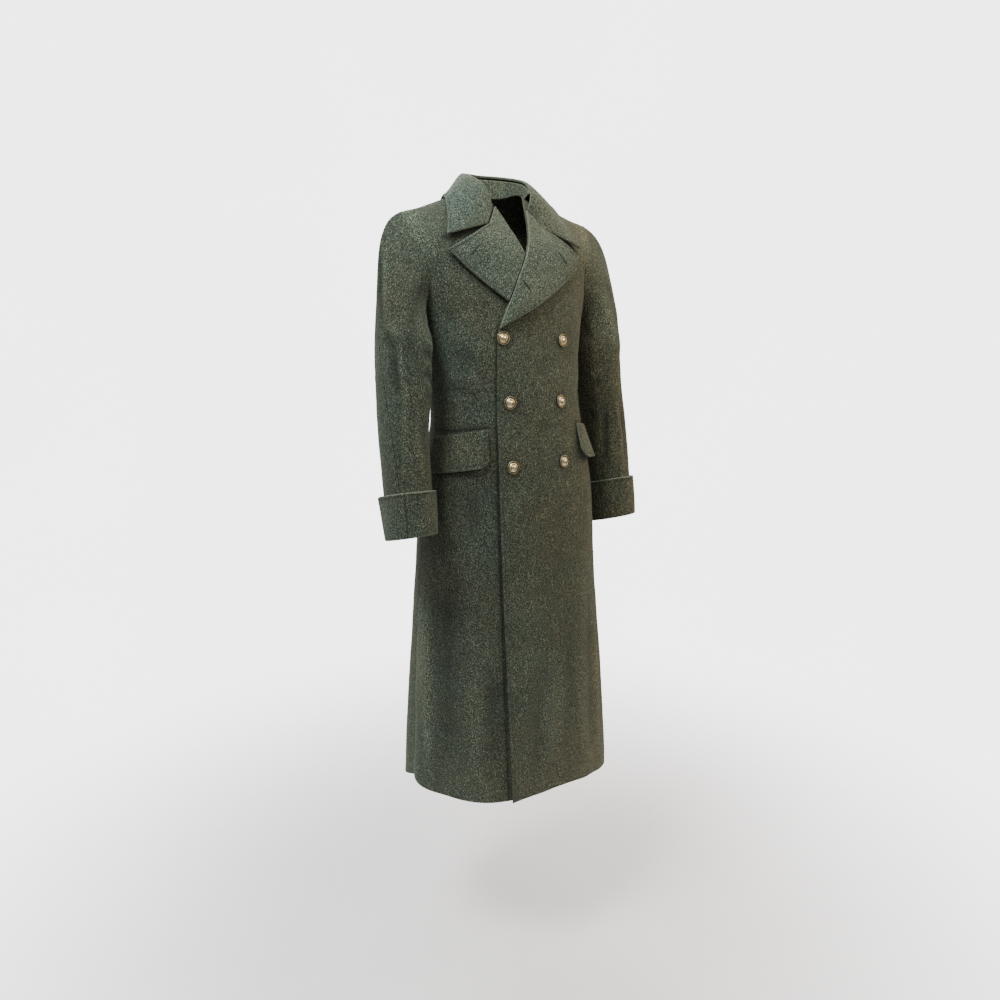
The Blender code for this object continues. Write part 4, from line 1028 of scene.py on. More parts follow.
def cloth(name, points, normals, wall, kinds, relief, wrap=False, shaded=30.0, plain=()):
    """A thin shell of cloth over a grid: its mesh object and its grid of outer points.

    kinds names the edges at the first row, last row, first column and last column; the
    edges whose numbers are in plain aren't painted pale, as rubbed wear and a painted
    edge highlight. shaded is each point's distance in mm from a line beside another
    piece, where a painted shadow darkens the cloth.
    """
    down = lengths(points, 0) * 1000
    over = lengths(points, 1) * 1000
    away = [down, down[-1:] - down]
    if not wrap:
        away += [over, over[:, -1:] - over]
    rise = relief * 1000
    lost = np.zeros_like(rise)
    worn, seam, sewn = (np.full(rise.shape, 30.0) for _ in range(3))
    for number, (kind, distance) in enumerate(zip(kinds, away)):
        share, width, valley, half, stitched = EDGES[kind]
        lost = np.maximum(lost, share * wall * 1000 * round_off(distance, width))
        rise = rise - valley * np.exp(-(distance / half) ** 2)
        if kind in SEAM_EASE_MM:
            seam = np.minimum(seam, distance + SEAM_EASE_MM[kind])
        elif number not in plain:
            worn = np.minimum(worn, distance)
        if stitched:
            off = np.abs(distance - stitched)
            sewn = np.minimum(sewn, off)
            puff = np.sin(math.pi * np.clip(distance / stitched, 0, 1))
            rise = rise + EDGE_PUFF_MM * puff - STITCH_GROOVE_MM * np.exp(-(off / STITCH_GROOVE_HALF_MM) ** 2)
    outer = points + normals * ((rise - lost) * 0.001)[..., None]
    inner = points + normals * ((rise + lost) * 0.001 - wall)[..., None]
    piece = shell(name, outer, inner, wrap)
    pressed = np.broadcast_to(shaded, rise.shape)
    # The colour reads these: worn paints free edges paler (rubbed wear and a painted highlight), fold paints shade
    # in troughs and light on ridges, and the shadow distance paints shadow
    for label, values in (("worn", worn), ("seam", seam), ("sewn", sewn), ("fold", relief * 1000),
                          ("pressed", pressed)):
        store = piece.data.attributes.new(label, "FLOAT", "POINT")
        store.data.foreach_set("value", np.tile(values.ravel(), 2).astype(np.float32))
    return piece, outer


def shell(name, outer, inner, wrap):
    """A closed wall between two grids; wrap joins the last column to the first."""
    rows, columns = outer.shape[:2]
    index = np.arange(rows * columns).reshape(rows, columns)
    far = rows * columns
    right = np.roll(index, -1, axis=1) if wrap else index[:, 1:]
    left = index if wrap else index[:, :-1]
    a, b, c, d = left[:-1], right[:-1], right[1:], left[1:]
    faces = [np.stack([a, b, c, d], -1).reshape(-1, 4)]
    faces.append(np.stack([a, d, c, b], -1).reshape(-1, 4) + far)
    rims = [(left[0], right[0]), (right[-1], left[-1])]
    if not wrap:
        rims += [(index[1:, 0], index[:-1, 0]), (index[:-1, -1], index[1:, -1])]
    for p, q in rims:
        faces.append(np.stack([p, p + far, q + far, q], -1).reshape(-1, 4))
    points = np.concatenate([outer.reshape(-1, 3), inner.reshape(-1, 3)])
    return solid(name, points, np.concatenate(faces).tolist())


def solid(name, points, faces):
    """A named, smoothly shaded object with its faces pointing out, riding on the coat."""
    mesh = bpy.data.meshes.new(name)
    placed = np.array(points, float)
    placed[:, 2] -= SUPPORT_HEIGHT
    corners = placed[np.array([face[:3] for face in faces])]
    six = np.einsum("ij,ij->i", corners[:, 0], np.cross(corners[:, 1], corners[:, 2])).sum()
    if six < 0:
        faces = [face[::-1] for face in faces]
    mesh.from_pydata(placed.tolist(), [], faces)
    mesh.shade_smooth()
    piece = bpy.data.objects.new(name, mesh)
    bpy.context.scene.collection.objects.link(piece)
    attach(piece, "root")
    return piece


def stitches(name, lines):
    """Short raised stitches along lines of points and normals on the cloth, as one piece."""
    rounds, places = 6, []
    shape = ((0.0, -0.4), (0.12, 0.45), (0.5, 1.0), (0.88, 0.45), (1.0, -0.4))
    turn = np.linspace(0, 2 * math.pi, rounds, endpoint=False)
    faces = []
    for points, normals in lines:
        run = np.concatenate([[0.0], np.cumsum(np.linalg.norm(np.diff(points, axis=0), axis=-1))])
        count = int(run[-1] // STITCH_SPACING)
        for k in range(count):
            start = (k + 0.2) * run[-1] / count
            base = sum(len(ring) for ring in places)
            for share, rise in shape:
                at = start + share * STITCH_LENGTH
                middle = np.array([np.interp(at, run, points[:, i]) for i in range(3)])
                ahead = np.array([np.interp(at + 0.001, run, points[:, i]) for i in range(3)])
                normal = np.array([np.interp(at, run, normals[:, i]) for i in range(3)])
                way = ahead - middle
                if np.linalg.norm(way) < 1e-7:
                    way = points[-1] - points[-2]
                side_way = unit(np.cross(way, normal))
                thick = STITCH_RADIUS * (0.55 if share in (0.0, 1.0) else 1.0)
                ring = (middle + normal * STITCH_RADIUS * rise
                        + thick * (np.cos(turn)[:, None] * side_way + np.sin(turn)[:, None] * normal))
                places.append(ring)
            for i in range(len(shape) - 1):
                for j in range(rounds):
                    n = (j + 1) % rounds
                    faces.append([base + i * rounds + j, base + i * rounds + n,
                                  base + (i + 1) * rounds + n, base + (i + 1) * rounds + j])
            last = base + (len(shape) - 1) * rounds
            faces.append([base + j for j in range(rounds)][::-1])
            faces.append([last + j for j in range(rounds)])
    return solid(name, np.concatenate(places), faces)


def stitch_line(outer, kinds, place, skip=0):
    """Points and normals of the grid's line that lies under one edge's topstitching."""
    k = EDGE_STEPS["stitched"].index(STITCH_LINE_MM)
    normals = grid_normals(outer)
    middle = outer[outer.shape[0] // 2, outer.shape[1] // 2]
    if np.sum(normals[outer.shape[0] // 2, outer.shape[1] // 2] * kinds) < 0:
        normals = -normals
    del middle
    lines = {
        "first row": (outer[k], normals[k]),
        "last row": (outer[-1 - k], normals[-1 - k]),
        "first column": (outer[:, k], normals[:, k]),
        "last column": (outer[:, -1 - k], normals[:, -1 - k]),
    }
    points, ways = lines[place]
    return points[skip:len(points) - skip], ways[skip:len(ways) - skip]


def hex_colour(code):
    """The linear colour of an sRGB hex value."""
    parts = [int(code[i:i + 2], 16) / 255 for i in (1, 3, 5)]
    return tuple(c / 12.92 if c <= 0.04045 else ((c + 0.055) / 1.055) ** 2.4 for c in parts) + (1.0,)


def add_node(tree, kind, values, links):
    """Add a node, set its properties, inputs and ramp stops, and link its inputs."""
    item = tree.nodes.new(kind)
    for name, value in values.items():
        if name == "stops":
            while len(item.color_ramp.elements) < len(value):
                item.color_ramp.elements.new(0.5)
            for element, (position, colour) in zip(item.color_ramp.elements, value):
                element.position = position
                element.color = hex_colour(colour) if isinstance(colour, str) else (colour,) * 3 + (1.0,)
        elif isinstance(name, int) or name in item.inputs:
            item.inputs[name].default_value = hex_colour(value) if isinstance(value, str) else value
        else:
            setattr(item, name, value)
    for name, source in links.items():
        tree.links.new(source, item.inputs[name])
    return item


def new_finish(name):
    """An empty material: its tree and its shader."""
    finish = bpy.data.materials.new(name)
    finish.use_nodes = True
    tree = finish.node_tree
    return finish, tree, tree.nodes["Principled BSDF"]


def wool_melton(name, dark, middle, light, fleck, warm):
    """Melton: wool woven, fulled until no thread shows, and sheared.

    Its yarns mix dark green, grey-green, yellow-brown and pale fibres, so the eye sees a
    fine melange, a matt face with a faint bloom at glancing angles, and a short nap.
    """
    finish, tree, shader = new_finish(name)
    where = tree.nodes.new("ShaderNodeTexCoord").outputs["Object"]
    # The melange of a real melton is 0.5 to 1 mm across; it is drawn at 1.7 mm so that it
    # shows (580 waves a metre across, 420 down the nap), with single paler tufts at 2.6 mm
    upright = add_node(tree, "ShaderNodeMapping", {"Scale": (580.0, 580.0, 420.0)}, {"Vector": where})
    melange = add_node(tree, "ShaderNodeTexNoise",
                       {"Scale": 1.0, "Detail": 3.0, "Roughness": 0.7}, {"Vector": upright.outputs["Vector"]})
    tufts = add_node(tree, "ShaderNodeTexNoise",
                     {"Scale": 380.0, "Detail": 2.0, "Roughness": 0.6, "Distortion": 0.4}, {"Vector": where})
    yarn = add_node(tree, "ShaderNodeValToRGB", {"stops": (
        (0.30, dark), (0.43, dark), (0.50, middle), (0.57, light), (0.68, fleck))},
        {"Fac": melange.outputs["Fac"]})
    tuft = add_node(tree, "ShaderNodeValToRGB", {"stops": ((0.55, 0.0), (0.70, 0.9))},
                    {"Fac": tufts.outputs["Fac"]})
    flecked = add_node(tree, "ShaderNodeMix", {"data_type": "RGBA", 7: warm},
                       {0: tuft.outputs["Color"], 6: yarn.outputs["Color"]})
    # Wear and light pressing leave patches about 120 mm across, greener or browner
    patch = add_node(tree, "ShaderNodeTexNoise", {"Scale": 8.0, "Detail": 2.0}, {"Vector": where})
    patch_tint = add_node(tree, "ShaderNodeValToRGB",
                          {"stops": ((0.35, "#E2EFE8"), (0.65, "#F6EBD6"))}, {"Fac": patch.outputs["Fac"]})
    clouded = add_node(tree, "ShaderNodeMix", {"data_type": "RGBA", "blend_type": "MULTIPLY", 0: 0.8},
                       {6: flecked.outputs[2], 7: patch_tint.outputs["Color"]})
    # Painted warm light: the wearer's left side, where the warm lamp shines, is tinted warmer and the right side
    # cooler, over some 300 mm
    place = add_node(tree, "ShaderNodeSeparateXYZ", {}, {"Vector": where})
    leftward = add_node(tree, "ShaderNodeMapRange", {"From Min": -0.10, "From Max": 0.20},
                        {"Value": place.outputs["X"]})
    painted_warm_side_tint = add_node(tree, "ShaderNodeValToRGB",
                         {"stops": ((0.0, "#EAF2EE"), (1.0, "#F4E8D2"))}, {"Fac": leftward.outputs["Result"]})
    warm_side_painted = add_node(tree, "ShaderNodeMix", {"data_type": "RGBA", "blend_type": "MULTIPLY", 0: 1.0},
                       {6: clouded.outputs[2], 7: painted_warm_side_tint.outputs["Color"]})
    # The nap is brushed downwards: streaks 3 mm across and 25 mm long
    stretch = add_node(tree, "ShaderNodeMapping", {"Scale": (330.0, 330.0, 40.0)}, {"Vector": where})
    streaks = add_node(tree, "ShaderNodeTexNoise", {"Scale": 1.0, "Detail": 2.0},
                       {"Vector": stretch.outputs["Vector"]})
    streak_tint = add_node(tree, "ShaderNodeValToRGB",
                           {"stops": ((0.35, "#D6D6D6"), (0.65, "#FFFFFF"))}, {"Fac": streaks.outputs["Fac"]})
    brushed = add_node(tree, "ShaderNodeMix", {"data_type": "RGBA", "blend_type": "MULTIPLY", 0: 0.7},
                       {6: warm_side_painted.outputs[2], 7: streak_tint.outputs["Color"]})
    # Free edges are painted paler over their last 2 mm, unevenly: partly rubbed wear, partly a painted highlight
    # along the edge
    edge = add_node(tree, "ShaderNodeAttribute", {"attribute_name": "worn"}, {})
    rubbed = add_node(tree, "ShaderNodeMapRange",
                      {"From Min": 0.3, "From Max": 2.4, "To Min": 0.55, "To Max": 0.0},
                      {"Value": edge.outputs["Fac"]})
    uneven = add_node(tree, "ShaderNodeMath", {"operation": "MULTIPLY"},
                      {0: rubbed.outputs["Result"], 1: melange.outputs["Fac"]})
    pale_highlit_edges = add_node(tree, "ShaderNodeMix", {"data_type": "RGBA", 7: "#8C9382"},
                     {0: uneven.outputs["Value"], 6: brushed.outputs[2]})
    # Seams and stitch lines sink into the nap and lie dark
    groove = add_node(tree, "ShaderNodeAttribute", {"attribute_name": "seam"}, {})
    sunk = add_node(tree, "ShaderNodeMapRange",
                    {"From Min": 0.0, "From Max": 1.6, "To Min": 0.30, "To Max": 1.0},
                    {"Value": groove.outputs["Fac"]})
    sewn = add_node(tree, "ShaderNodeAttribute", {"attribute_name": "sewn"}, {})
    pulled = add_node(tree, "ShaderNodeMapRange",
                      {"From Min": 0.0, "From Max": 1.3, "To Min": 0.55, "To Max": 1.0},
                      {"Value": sewn.outputs["Fac"]})
    # Painted shade and light: the cloth is darkened in the troughs of its folds, creases and swells and lightened
    # on their ridges
    fold = add_node(tree, "ShaderNodeAttribute", {"attribute_name": "fold"}, {})
    hollow = add_node(tree, "ShaderNodeMapRange",
                      {"From Min": -2.2, "From Max": 2.4, "To Min": 0.45, "To Max": 1.65},
                      {"Value": fold.outputs["Fac"]})
    # Painted shadow: beside another piece's edge, under the collar's lifted end and along the flap's sewn top, the
    # cloth is darkened over some 3 mm, more widely under the collar
    pressed = add_node(tree, "ShaderNodeAttribute", {"attribute_name": "pressed"}, {})
    painted_shadow_darkening = add_node(tree, "ShaderNodeMapRange",
                         {"From Min": 0.5, "From Max": 4.0, "To Min": 0.25, "To Max": 1.0},
                         {"Value": pressed.outputs["Fac"]})
    # Dark seams and stitch lines, the painted shadow and the painted shade and light from the relief all scale the
    # colour
    both = add_node(tree, "ShaderNodeMath", {"operation": "MULTIPLY"},
                    {0: sunk.outputs["Result"], 1: pulled.outputs["Result"]})
    worked = add_node(tree, "ShaderNodeMath", {"operation": "MULTIPLY"},
                      {0: both.outputs["Value"], 1: painted_shadow_darkening.outputs["Result"]})
    shade = add_node(tree, "ShaderNodeMath", {"operation": "MULTIPLY"},
                     {0: worked.outputs["Value"], 1: hollow.outputs["Result"]})
    coloured = add_node(tree, "ShaderNodeVectorMath", {"operation": "SCALE"},
                        {0: pale_highlit_edges.outputs[2], "Scale": shade.outputs["Value"]})
    tree.links.new(coloured.outputs["Vector"], shader.inputs["Base Color"])
    rough = add_node(tree, "ShaderNodeMapRange", {"To Min": 0.82, "To Max": 0.98},
                     {"Value": tufts.outputs["Fac"]})
    tree.links.new(rough.outputs["Result"], shader.inputs["Roughness"])
    # The nap itself: fibres 0.1 mm thick, drawn as tufts of 1.1 mm (900 waves a metre)
    nap = add_node(tree, "ShaderNodeTexNoise", {"Scale": 900.0, "Detail": 3.0, "Roughness": 0.65},
                   {"Vector": where})
    raised = add_node(tree, "ShaderNodeMath", {"operation": "ADD"},
                      {0: nap.outputs["Fac"], 1: melange.outputs["Fac"]})
    bump = add_node(tree, "ShaderNodeBump", {"Strength": 0.55, "Distance": 0.0007},
                    {"Height": raised.outputs["Value"]})
    tree.links.new(bump.outputs["Normal"], shader.inputs["Normal"])
    shader.inputs["Metallic"].default_value = 0.0
    shader.inputs["IOR"].default_value = 1.5
    shader.inputs["Specular IOR Level"].default_value = 0.25
    shader.inputs["Sheen Weight"].default_value = 0.22
    shader.inputs["Sheen Roughness"].default_value = 0.6
    shader.inputs["Sheen Tint"].default_value = hex_colour("#A9B5A0")
    return finish


def buttonhole_twist(name, colour, dark):
    """Cotton twist: two plies twisted hard and waxed, dyed to the cloth, so it lies smoother."""
    finish, tree, shader = new_finish(name)
    where = tree.nodes.new("ShaderNodeTexCoord").outputs["Object"]
    # The plies of a twist turn every 0.8 mm; they are drawn at 1.4 mm
    plies = add_node(tree, "ShaderNodeTexNoise", {"Scale": 700.0, "Detail": 2.0}, {"Vector": where})
    dyed = add_node(tree, "ShaderNodeValToRGB", {"stops": ((0.38, dark), (0.62, colour))},
                    {"Fac": plies.outputs["Fac"]})
    tree.links.new(dyed.outputs["Color"], shader.inputs["Base Color"])
    rough = add_node(tree, "ShaderNodeMapRange", {"To Min": 0.6, "To Max": 0.8}, {"Value": plies.outputs["Fac"]})
    tree.links.new(rough.outputs["Result"], shader.inputs["Roughness"])
    bump = add_node(tree, "ShaderNodeBump", {"Strength": 0.4, "Distance": 0.0003},
                    {"Height": plies.outputs["Fac"]})
    tree.links.new(bump.outputs["Normal"], shader.inputs["Normal"])
    shader.inputs["Sheen Weight"].default_value = 0.1
    return finish


def gilt_brass(name):
    """Brass, stamped from sheet, gilt and polished: pale gold, brighter where it is rubbed."""
    finish, tree, shader = new_finish(name)
    where = tree.nodes.new("ShaderNodeTexCoord").outputs["Object"]
    # Tarnish clouds 4 mm across (250 waves a metre), and handling marks of 0.7 mm
    clouds = add_node(tree, "ShaderNodeTexNoise", {"Scale": 250.0, "Detail": 4.0}, {"Vector": where})
    gold = add_node(tree, "ShaderNodeValToRGB",
                    {"stops": ((0.32, "#B39C70"), (0.50, "#DDCBA0"), (0.68, "#F2E8CE"))},
                    {"Fac": clouds.outputs["Fac"]})
    # Darker and rougher by the button's third column: grime in the grooves, and painted shade on the outer rim's
    # side and ring
    deep = add_node(tree, "ShaderNodeAttribute", {"attribute_name": "groove"}, {})
    grimed_and_shaded = add_node(tree, "ShaderNodeMix", {"data_type": "RGBA", 7: "#1C1810"},
                      {6: gold.outputs["Color"]})
    grime_and_shade = add_node(tree, "ShaderNodeMath", {"operation": "MULTIPLY", 1: 0.85}, {0: deep.outputs["Fac"]})
    tree.links.new(grime_and_shade.outputs["Value"], grimed_and_shaded.inputs[0])
    tree.links.new(grimed_and_shaded.outputs[2], shader.inputs["Base Color"])
    marks = add_node(tree, "ShaderNodeTexNoise", {"Scale": 1400.0, "Detail": 2.0}, {"Vector": where})
    worn = add_node(tree, "ShaderNodeMapRange", {"To Min": 0.16, "To Max": 0.36}, {"Value": clouds.outputs["Fac"]})
    dull = add_node(tree, "ShaderNodeMath", {"operation": "MULTIPLY_ADD", 1: 0.35},
                    {0: deep.outputs["Fac"], 2: worn.outputs["Result"]})
    tree.links.new(dull.outputs["Value"], shader.inputs["Roughness"])
    bump = add_node(tree, "ShaderNodeBump", {"Strength": 0.15, "Distance": 0.0002},
                    {"Height": marks.outputs["Fac"]})
    tree.links.new(bump.outputs["Normal"], shader.inputs["Normal"])
    shader.inputs["Metallic"].default_value = 1.0
    return finish


def dress(piece, finish, nodes=()):
    """Give a piece its material, and let it take its solid's place."""
    piece.data.materials.append(finish)
    if nodes:
        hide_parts(*nodes)


def declare(name, outer):
    """State the cloth's cut: its largest width and length over the grid, and its area."""
    width = lengths(outer, 1)[:, -1].max()
    length = lengths(outer, 0)[-1].max()
    quads = np.cross(outer[1:, 1:] - outer[:-1, :-1], outer[1:, :-1] - outer[:-1, 1:])
    area = np.linalg.norm(quads, axis=-1).sum() / 2
    print(f"CUT {name} {width:.3f} x {length:.3f} area {area:.4f}")
    width, length, area = CUTS.get(name, (width, length, area))


def button_pulls(points):
    """Shallow dimples where the buttons pull the left front, and where its swells die out."""
    pull = np.zeros(points.shape[:-1])
    calm = np.ones(points.shape[:-1])
    for x, height in BUTTON_ROWS:
        for side in (1, -1):
            place, _ = front_place(1, side * x, height)
            off = np.linalg.norm(points - place, axis=-1)
            pull -= BUTTON_PULL * np.exp(-(off / BUTTON_PULL_RADIUS) ** 2)
            calm *= smooth_step(off, 0.008, 0.03)
    return pull, calm


def make_panels(side, name, wool, thread):
    """The front and the back of one side."""
    points, normals, along, x = panel(side, -1, "stitched", FRONT_STEP)
    relief = creases(FRONT_CREASES[side], (x, 1.0), points[..., 2])
    bumps = swells(points)
    hidden = smooth_step(x, 0.0, 0.05) if side < 0 else np.ones_like(x)
    under = 1 - smooth_step(along, -0.17, -0.12)
    low = lapped_calm(side, points)
    relief = relief * (0.25 + 0.75 * under) * hidden * low + bumps * low * hidden
    if side > 0:
        pull, calm = button_pulls(points)
        relief = relief * calm + pull
    kinds = ("free", "seam", "stitched", "armhole")
    relief = relief * settle(points, kinds)
    relief = relief + shoulder_pad(points, PAD_REACH_PANEL)
    mouth = pocket_mouth(points, x)
    relief = relief - POCKET_MOUTH_DEPTH * np.exp(-(mouth / POCKET_MOUTH_HALF_MM) ** 2)
    # Painted shadow on the front: under the collar's lifted end, along the flap's sewn top, and on the right front
    # beside the left front's lapped edge
    under_collar = beside_line(x, bare_height(points), NOTCH, COLLAR_TIP)
    pressed = np.minimum(mouth, under_collar * COLLAR_SHADE_SHARE)
    if side < 0:
        edge = along_table(FRONT_EDGE, np.clip(along, -HEM_ALONG, BREAK_ALONG))
        beside = np.abs(x + edge) * 1000 + 200 * np.maximum(along - BREAK_ALONG, 0)
        pressed = np.minimum(pressed, beside)
    piece, outer = cloth(f"front_panel_{name}", points, normals, WALL, kinds, relief,
                         shaded=pressed, plain=(2,))
    dress(piece, wool, [f"front_{name}"])
    below = along[:, 0] < BREAK_ALONG - 0.006
    line, ways = stitch_line(outer, normals[outer.shape[0] // 2, outer.shape[1] // 2], "first column")
    sewing = stitches(f"front_topstitching_{name}", [(line[below][3:], ways[below][3:])])
    dress(sewing, thread)
    declare(f"front_{name}", outer)

    points, normals, along, x = panel(side, 1, "seam", BACK_STEP)
    relief = creases(BACK_CREASES[side], (x, 1.0), points[..., 2])
    relief = relief * (1 - smooth_step(along, -0.11, -0.05) * (along < 0.10)) + swells(points)
    kinds = ("free", "seam", "seam", "armhole")
    relief = relief * settle(points, kinds) * collar_calm(along) + shoulder_pad(points, PAD_REACH_PANEL)
    piece, outer = cloth(f"back_panel_{name}", points, normals, WALL, kinds, relief)
    dress(piece, wool, [f"back_{name}"])
    declare(f"back_{name}", outer)


def shoulder_pad(points, reach, from_first_row=False):
    """The pad under the shoulder's end fills the dip where the sleeve is set in, in metres."""
    if from_first_row:
        away = lengths(points, 0)
        height = points[:1, :, 2] * np.ones((len(points), 1))
    else:
        over = lengths(points, 1)
        away = over[:, -1:] - over
        height = points[:, -1:, 2] * np.ones((1, points.shape[1]))
    return PAD_RISE * smooth_step(height, *PAD_H) * np.exp(-(away / reach) ** 2)


def beside_line(x, height, start, end):
    """Distance in mm of places on the front from the line between two of its places."""
    run_x, run_h = end[0] - start[0], end[1] - start[1]
    t = ((x - start[0]) * run_x + (height - start[1]) * run_h) / (run_x ** 2 + run_h ** 2)
    t = np.clip(t, 0, 1)
    return np.hypot(x - start[0] - t * run_x, height - start[1] - t * run_h) * 1000


def pocket_mouth(points, x):
    """Distance in mm of a front's points from the seam above its hip flap."""
    run = (x - FLAP_FRONT_X) / (PANEL_WIDTH * 0.45)
    line = FLAP_TOP_FRONT_H + (FLAP_TOP_BACK_H - FLAP_TOP_FRONT_H) * np.clip(run, 0, 1)
    aside = np.maximum(FLAP_FRONT_X - x, 0)
    return np.hypot(bare_height(points) - line - 0.001, aside) * 1000


def bare_height(points):
    """Heights of the trunk's points before the coat's hang is applied."""
    x, y, hung = np.moveaxis(points, -1, 0)
    share = LEAN_TOP_SHARE + (1 - LEAN_TOP_SHARE) * smooth_step(-y, -0.01, 0.06)
    height = hung
    for _ in range(4):
        height = hung + LEAN * x * share * smooth_step(height, *LEAN_STARTS_H)
    return height


def collar_calm(along):
    """The cloth lies smooth under the collar."""
    return smooth_step(np.abs(along), 0.085, 0.13)


def lapped_calm(side, points):
    """A front's relief is held down under its lapel and its flap, so that nothing pokes through."""
    calm = np.ones(points.shape[:-1])
    height = points[..., 2]
    x = points[..., 0] * side
    calm *= 1 - smooth_step(height, 1.32, 1.40) * (1 - smooth_step(x, 0.13, 0.17)) * 0.85
    on_flap = smooth_step(height, 1.045, 1.085) * (1 - smooth_step(height, 1.165, 1.185))
    calm *= 1 - on_flap * smooth_step(x, 0.075, 0.095) * 0.9
    return calm


def settle(points, kinds):
    """1 in the open cloth and 0 at armholes and seams' ends, where pieces meet squarely."""
    over = lengths(points, 1)
    away = over[:, -1:] - over
    height = points[..., 2]
    armhole = smooth_step(height, 1.33, 1.37)
    calm = 1 - armhole * (1 - smooth_step(away, 0.003, 0.03))
    down = lengths(points, 0)
    return calm * smooth_step(down[-1:] - down, 0.002, 0.03)


def make_sleeve(side, name, wool):
    """Top sleeve and under sleeve, joined at a front and a back seam."""
    ways = sleeve_ways(0.0, "armhole", "free", SLEEVE_STEP)
    front = math.radians(FRONT_SEAM_TURN)
    back = back_seam_turn(ways)
    gap = SEAM_GAP / 2 / SLEEVE_RADIUS
    spans = {
        "top": (front + gap + 0 * back, back - gap),
        "under": (back + gap, front + 2 * math.pi - gap + 0 * back),
    }
    for part, (start, end) in spans.items():
        share = spread((end - start) * SLEEVE_RADIUS, "seam", "seam", SLEEVE_STEP)
        turn = start[:, None] + (end - start)[:, None] * share
        way = np.broadcast_to(ways[:, None], turn.shape)
        points, normals = sleeve_grid(side, turn, way)
        degrees = np.degrees(turn)
        relief = np.zeros(turn.shape)
        per_degree = math.radians(SLEEVE_RADIUS)
        for shift in (-360.0, 0.0, 360.0):
            relief += creases(SLEEVE_CREASES[side], (degrees + shift, per_degree), points[..., 2])
        cap = smooth_step(lengths(points, 0), 0.003, 0.030)
        cuff = 1 - smooth_step(way, 1 + CUFF_TOP_DOWN - 0.05, 1 + CUFF_TOP_DOWN)
        relief = (SLEEVE_CREASE_SHARE * relief + swells(points)) * cap * cuff
        relief = relief + shoulder_pad(points, PAD_REACH_SLEEVE, from_first_row=True)
        kinds = ("armhole", "free", "seam", "seam")
        piece, outer = cloth(f"{part}_sleeve_{name}", points, normals, WALL, kinds, relief)
        dress(piece, wool, [f"sleeve_{part}_{name}"])
        declare(f"sleeve_{part}_{name}", outer)


def make_cuff(side, name, wool, thread):
    """The deep turned-back cuff: a ring round the sleeve's end that flares to its top."""
    way = sleeve_ways(1 + CUFF_TOP_DOWN, "stitched", "free", TRIM_STEP)[:, None]
    turn = np.linspace(0, 2 * math.pi, 96, endpoint=False)
    seams = np.radians(np.concatenate([[t - 1.8, t - 0.9, t, t + 0.9, t + 1.8] for t in CUFF_SEAM_TURNS]))
    keep = np.all(np.abs(turn[:, None] - np.radians(CUFF_SEAM_TURNS)[None, :]) > math.radians(2.6), axis=1)
    turn = np.sort(np.concatenate([turn[keep], seams]))[None, :]
    points, normals = sleeve_grid(side, turn, way)
    flare = CUFF_FLARE + CUFF_BACK_FLARE * np.clip(-np.sin(turn), 0.0, 1.0)
    down = (way - 1 - CUFF_TOP_DOWN) / (1 - CUFF_TOP_DOWN)
    rise = 2 * SEAM_GAP + flare * (1 - down)
    outer = points + normals * (rise + DOUBLE_WALL)[..., None]
    relief = swells(outer) * 0.6 + 0.0004 * (1 + np.sin(3 * turn + side)) * np.sin(math.pi * down)
    seam_mm = np.min([np.abs(turn - math.radians(t)) for t in CUFF_SEAM_TURNS], axis=0) * SLEEVE_RADIUS * 1000
    relief = relief - 0.0009 * np.exp(-(seam_mm / 0.9) ** 2)
    piece, face = cloth(f"turned_cuff_{name}", outer, normals, DOUBLE_WALL, ("stitched", "free"), relief, True)
    seams_mm = np.tile(np.broadcast_to(seam_mm, relief.shape).ravel(), 2).astype(np.float32)
    piece.data.attributes["seam"].data.foreach_set("value", seams_mm)
    dress(piece, wool, [f"cuff_{name}"])
    line, ways = stitch_line(face, normals[face.shape[0] // 2, face.shape[1] // 2], "first row")
    loop = np.concatenate([line, line[:1]]), np.concatenate([ways, ways[:1]])
    sewing = stitches(f"cuff_topstitching_{name}", [loop])
    dress(sewing, thread)
    closed = np.concatenate([face, face[:, :1]], axis=1)
    declare(f"cuff_{name}", closed)


def lapel_shares(side):
    """down and over of a lapel's rows and columns, crowded beside its stitched edges."""
    kinds = ("stitched", "stitched" if side > 0 else "tucked", "free", "stitched")
    heights = 0.21 if side > 0 else 0.17
    down = spread(heights, kinds[0], kinds[1], TRIM_STEP)[0]
    over = spread(0.115, kinds[2], kinds[3], TRIM_STEP)[0]
    over[np.abs(over - NOTCH_SHARE).argmin()] = NOTCH_SHARE
    return kinds, down, over


def make_lapel(side, name, wool, thread, dark_thread):
    """A peaked lapel, turned back at the roll line and topstitched round its free edges."""
    kinds, down, over = lapel_shares(side)
    down = down[:, None] * np.ones((1, len(over)))
    over = over[None, :] * np.ones((len(down), 1))
    points, normals = lapel_place(side, down, over)
    relief = (swells(points) + 0.0006) * 0.5 * np.sin(math.pi * over) * np.sin(math.pi * down)
    piece, outer = cloth(f"turned_lapel_{name}", points, normals, DOUBLE_WALL, kinds, relief)
    dress(piece, wool, [f"lapel_{name}"])
    facing = normals[outer.shape[0] // 2, outer.shape[1] // 2]
    k = EDGE_STEPS["stitched"].index(STITCH_LINE_MM)
    top = stitch_line(outer, facing, "first row")
    from_notch = over[0] > NOTCH_SHARE + 0.02
    from_notch[-k:] = False
    edge = stitch_line(outer, facing, "last column", skip=k)
    lines = [(top[0][from_notch], top[1][from_notch]), edge]
    sewing = stitches(f"lapel_topstitching_{name}", lines)
    dress(sewing, thread)
    for number, row in enumerate(row for row in BUTTONHOLES if row[0] == side):
        hole = make_buttonhole(f"buttonhole_{name}_{number + 1}", side, row[1:], outer, down, over, facing)
        dress(hole, dark_thread)
    declare(f"lapel_{name}", outer)


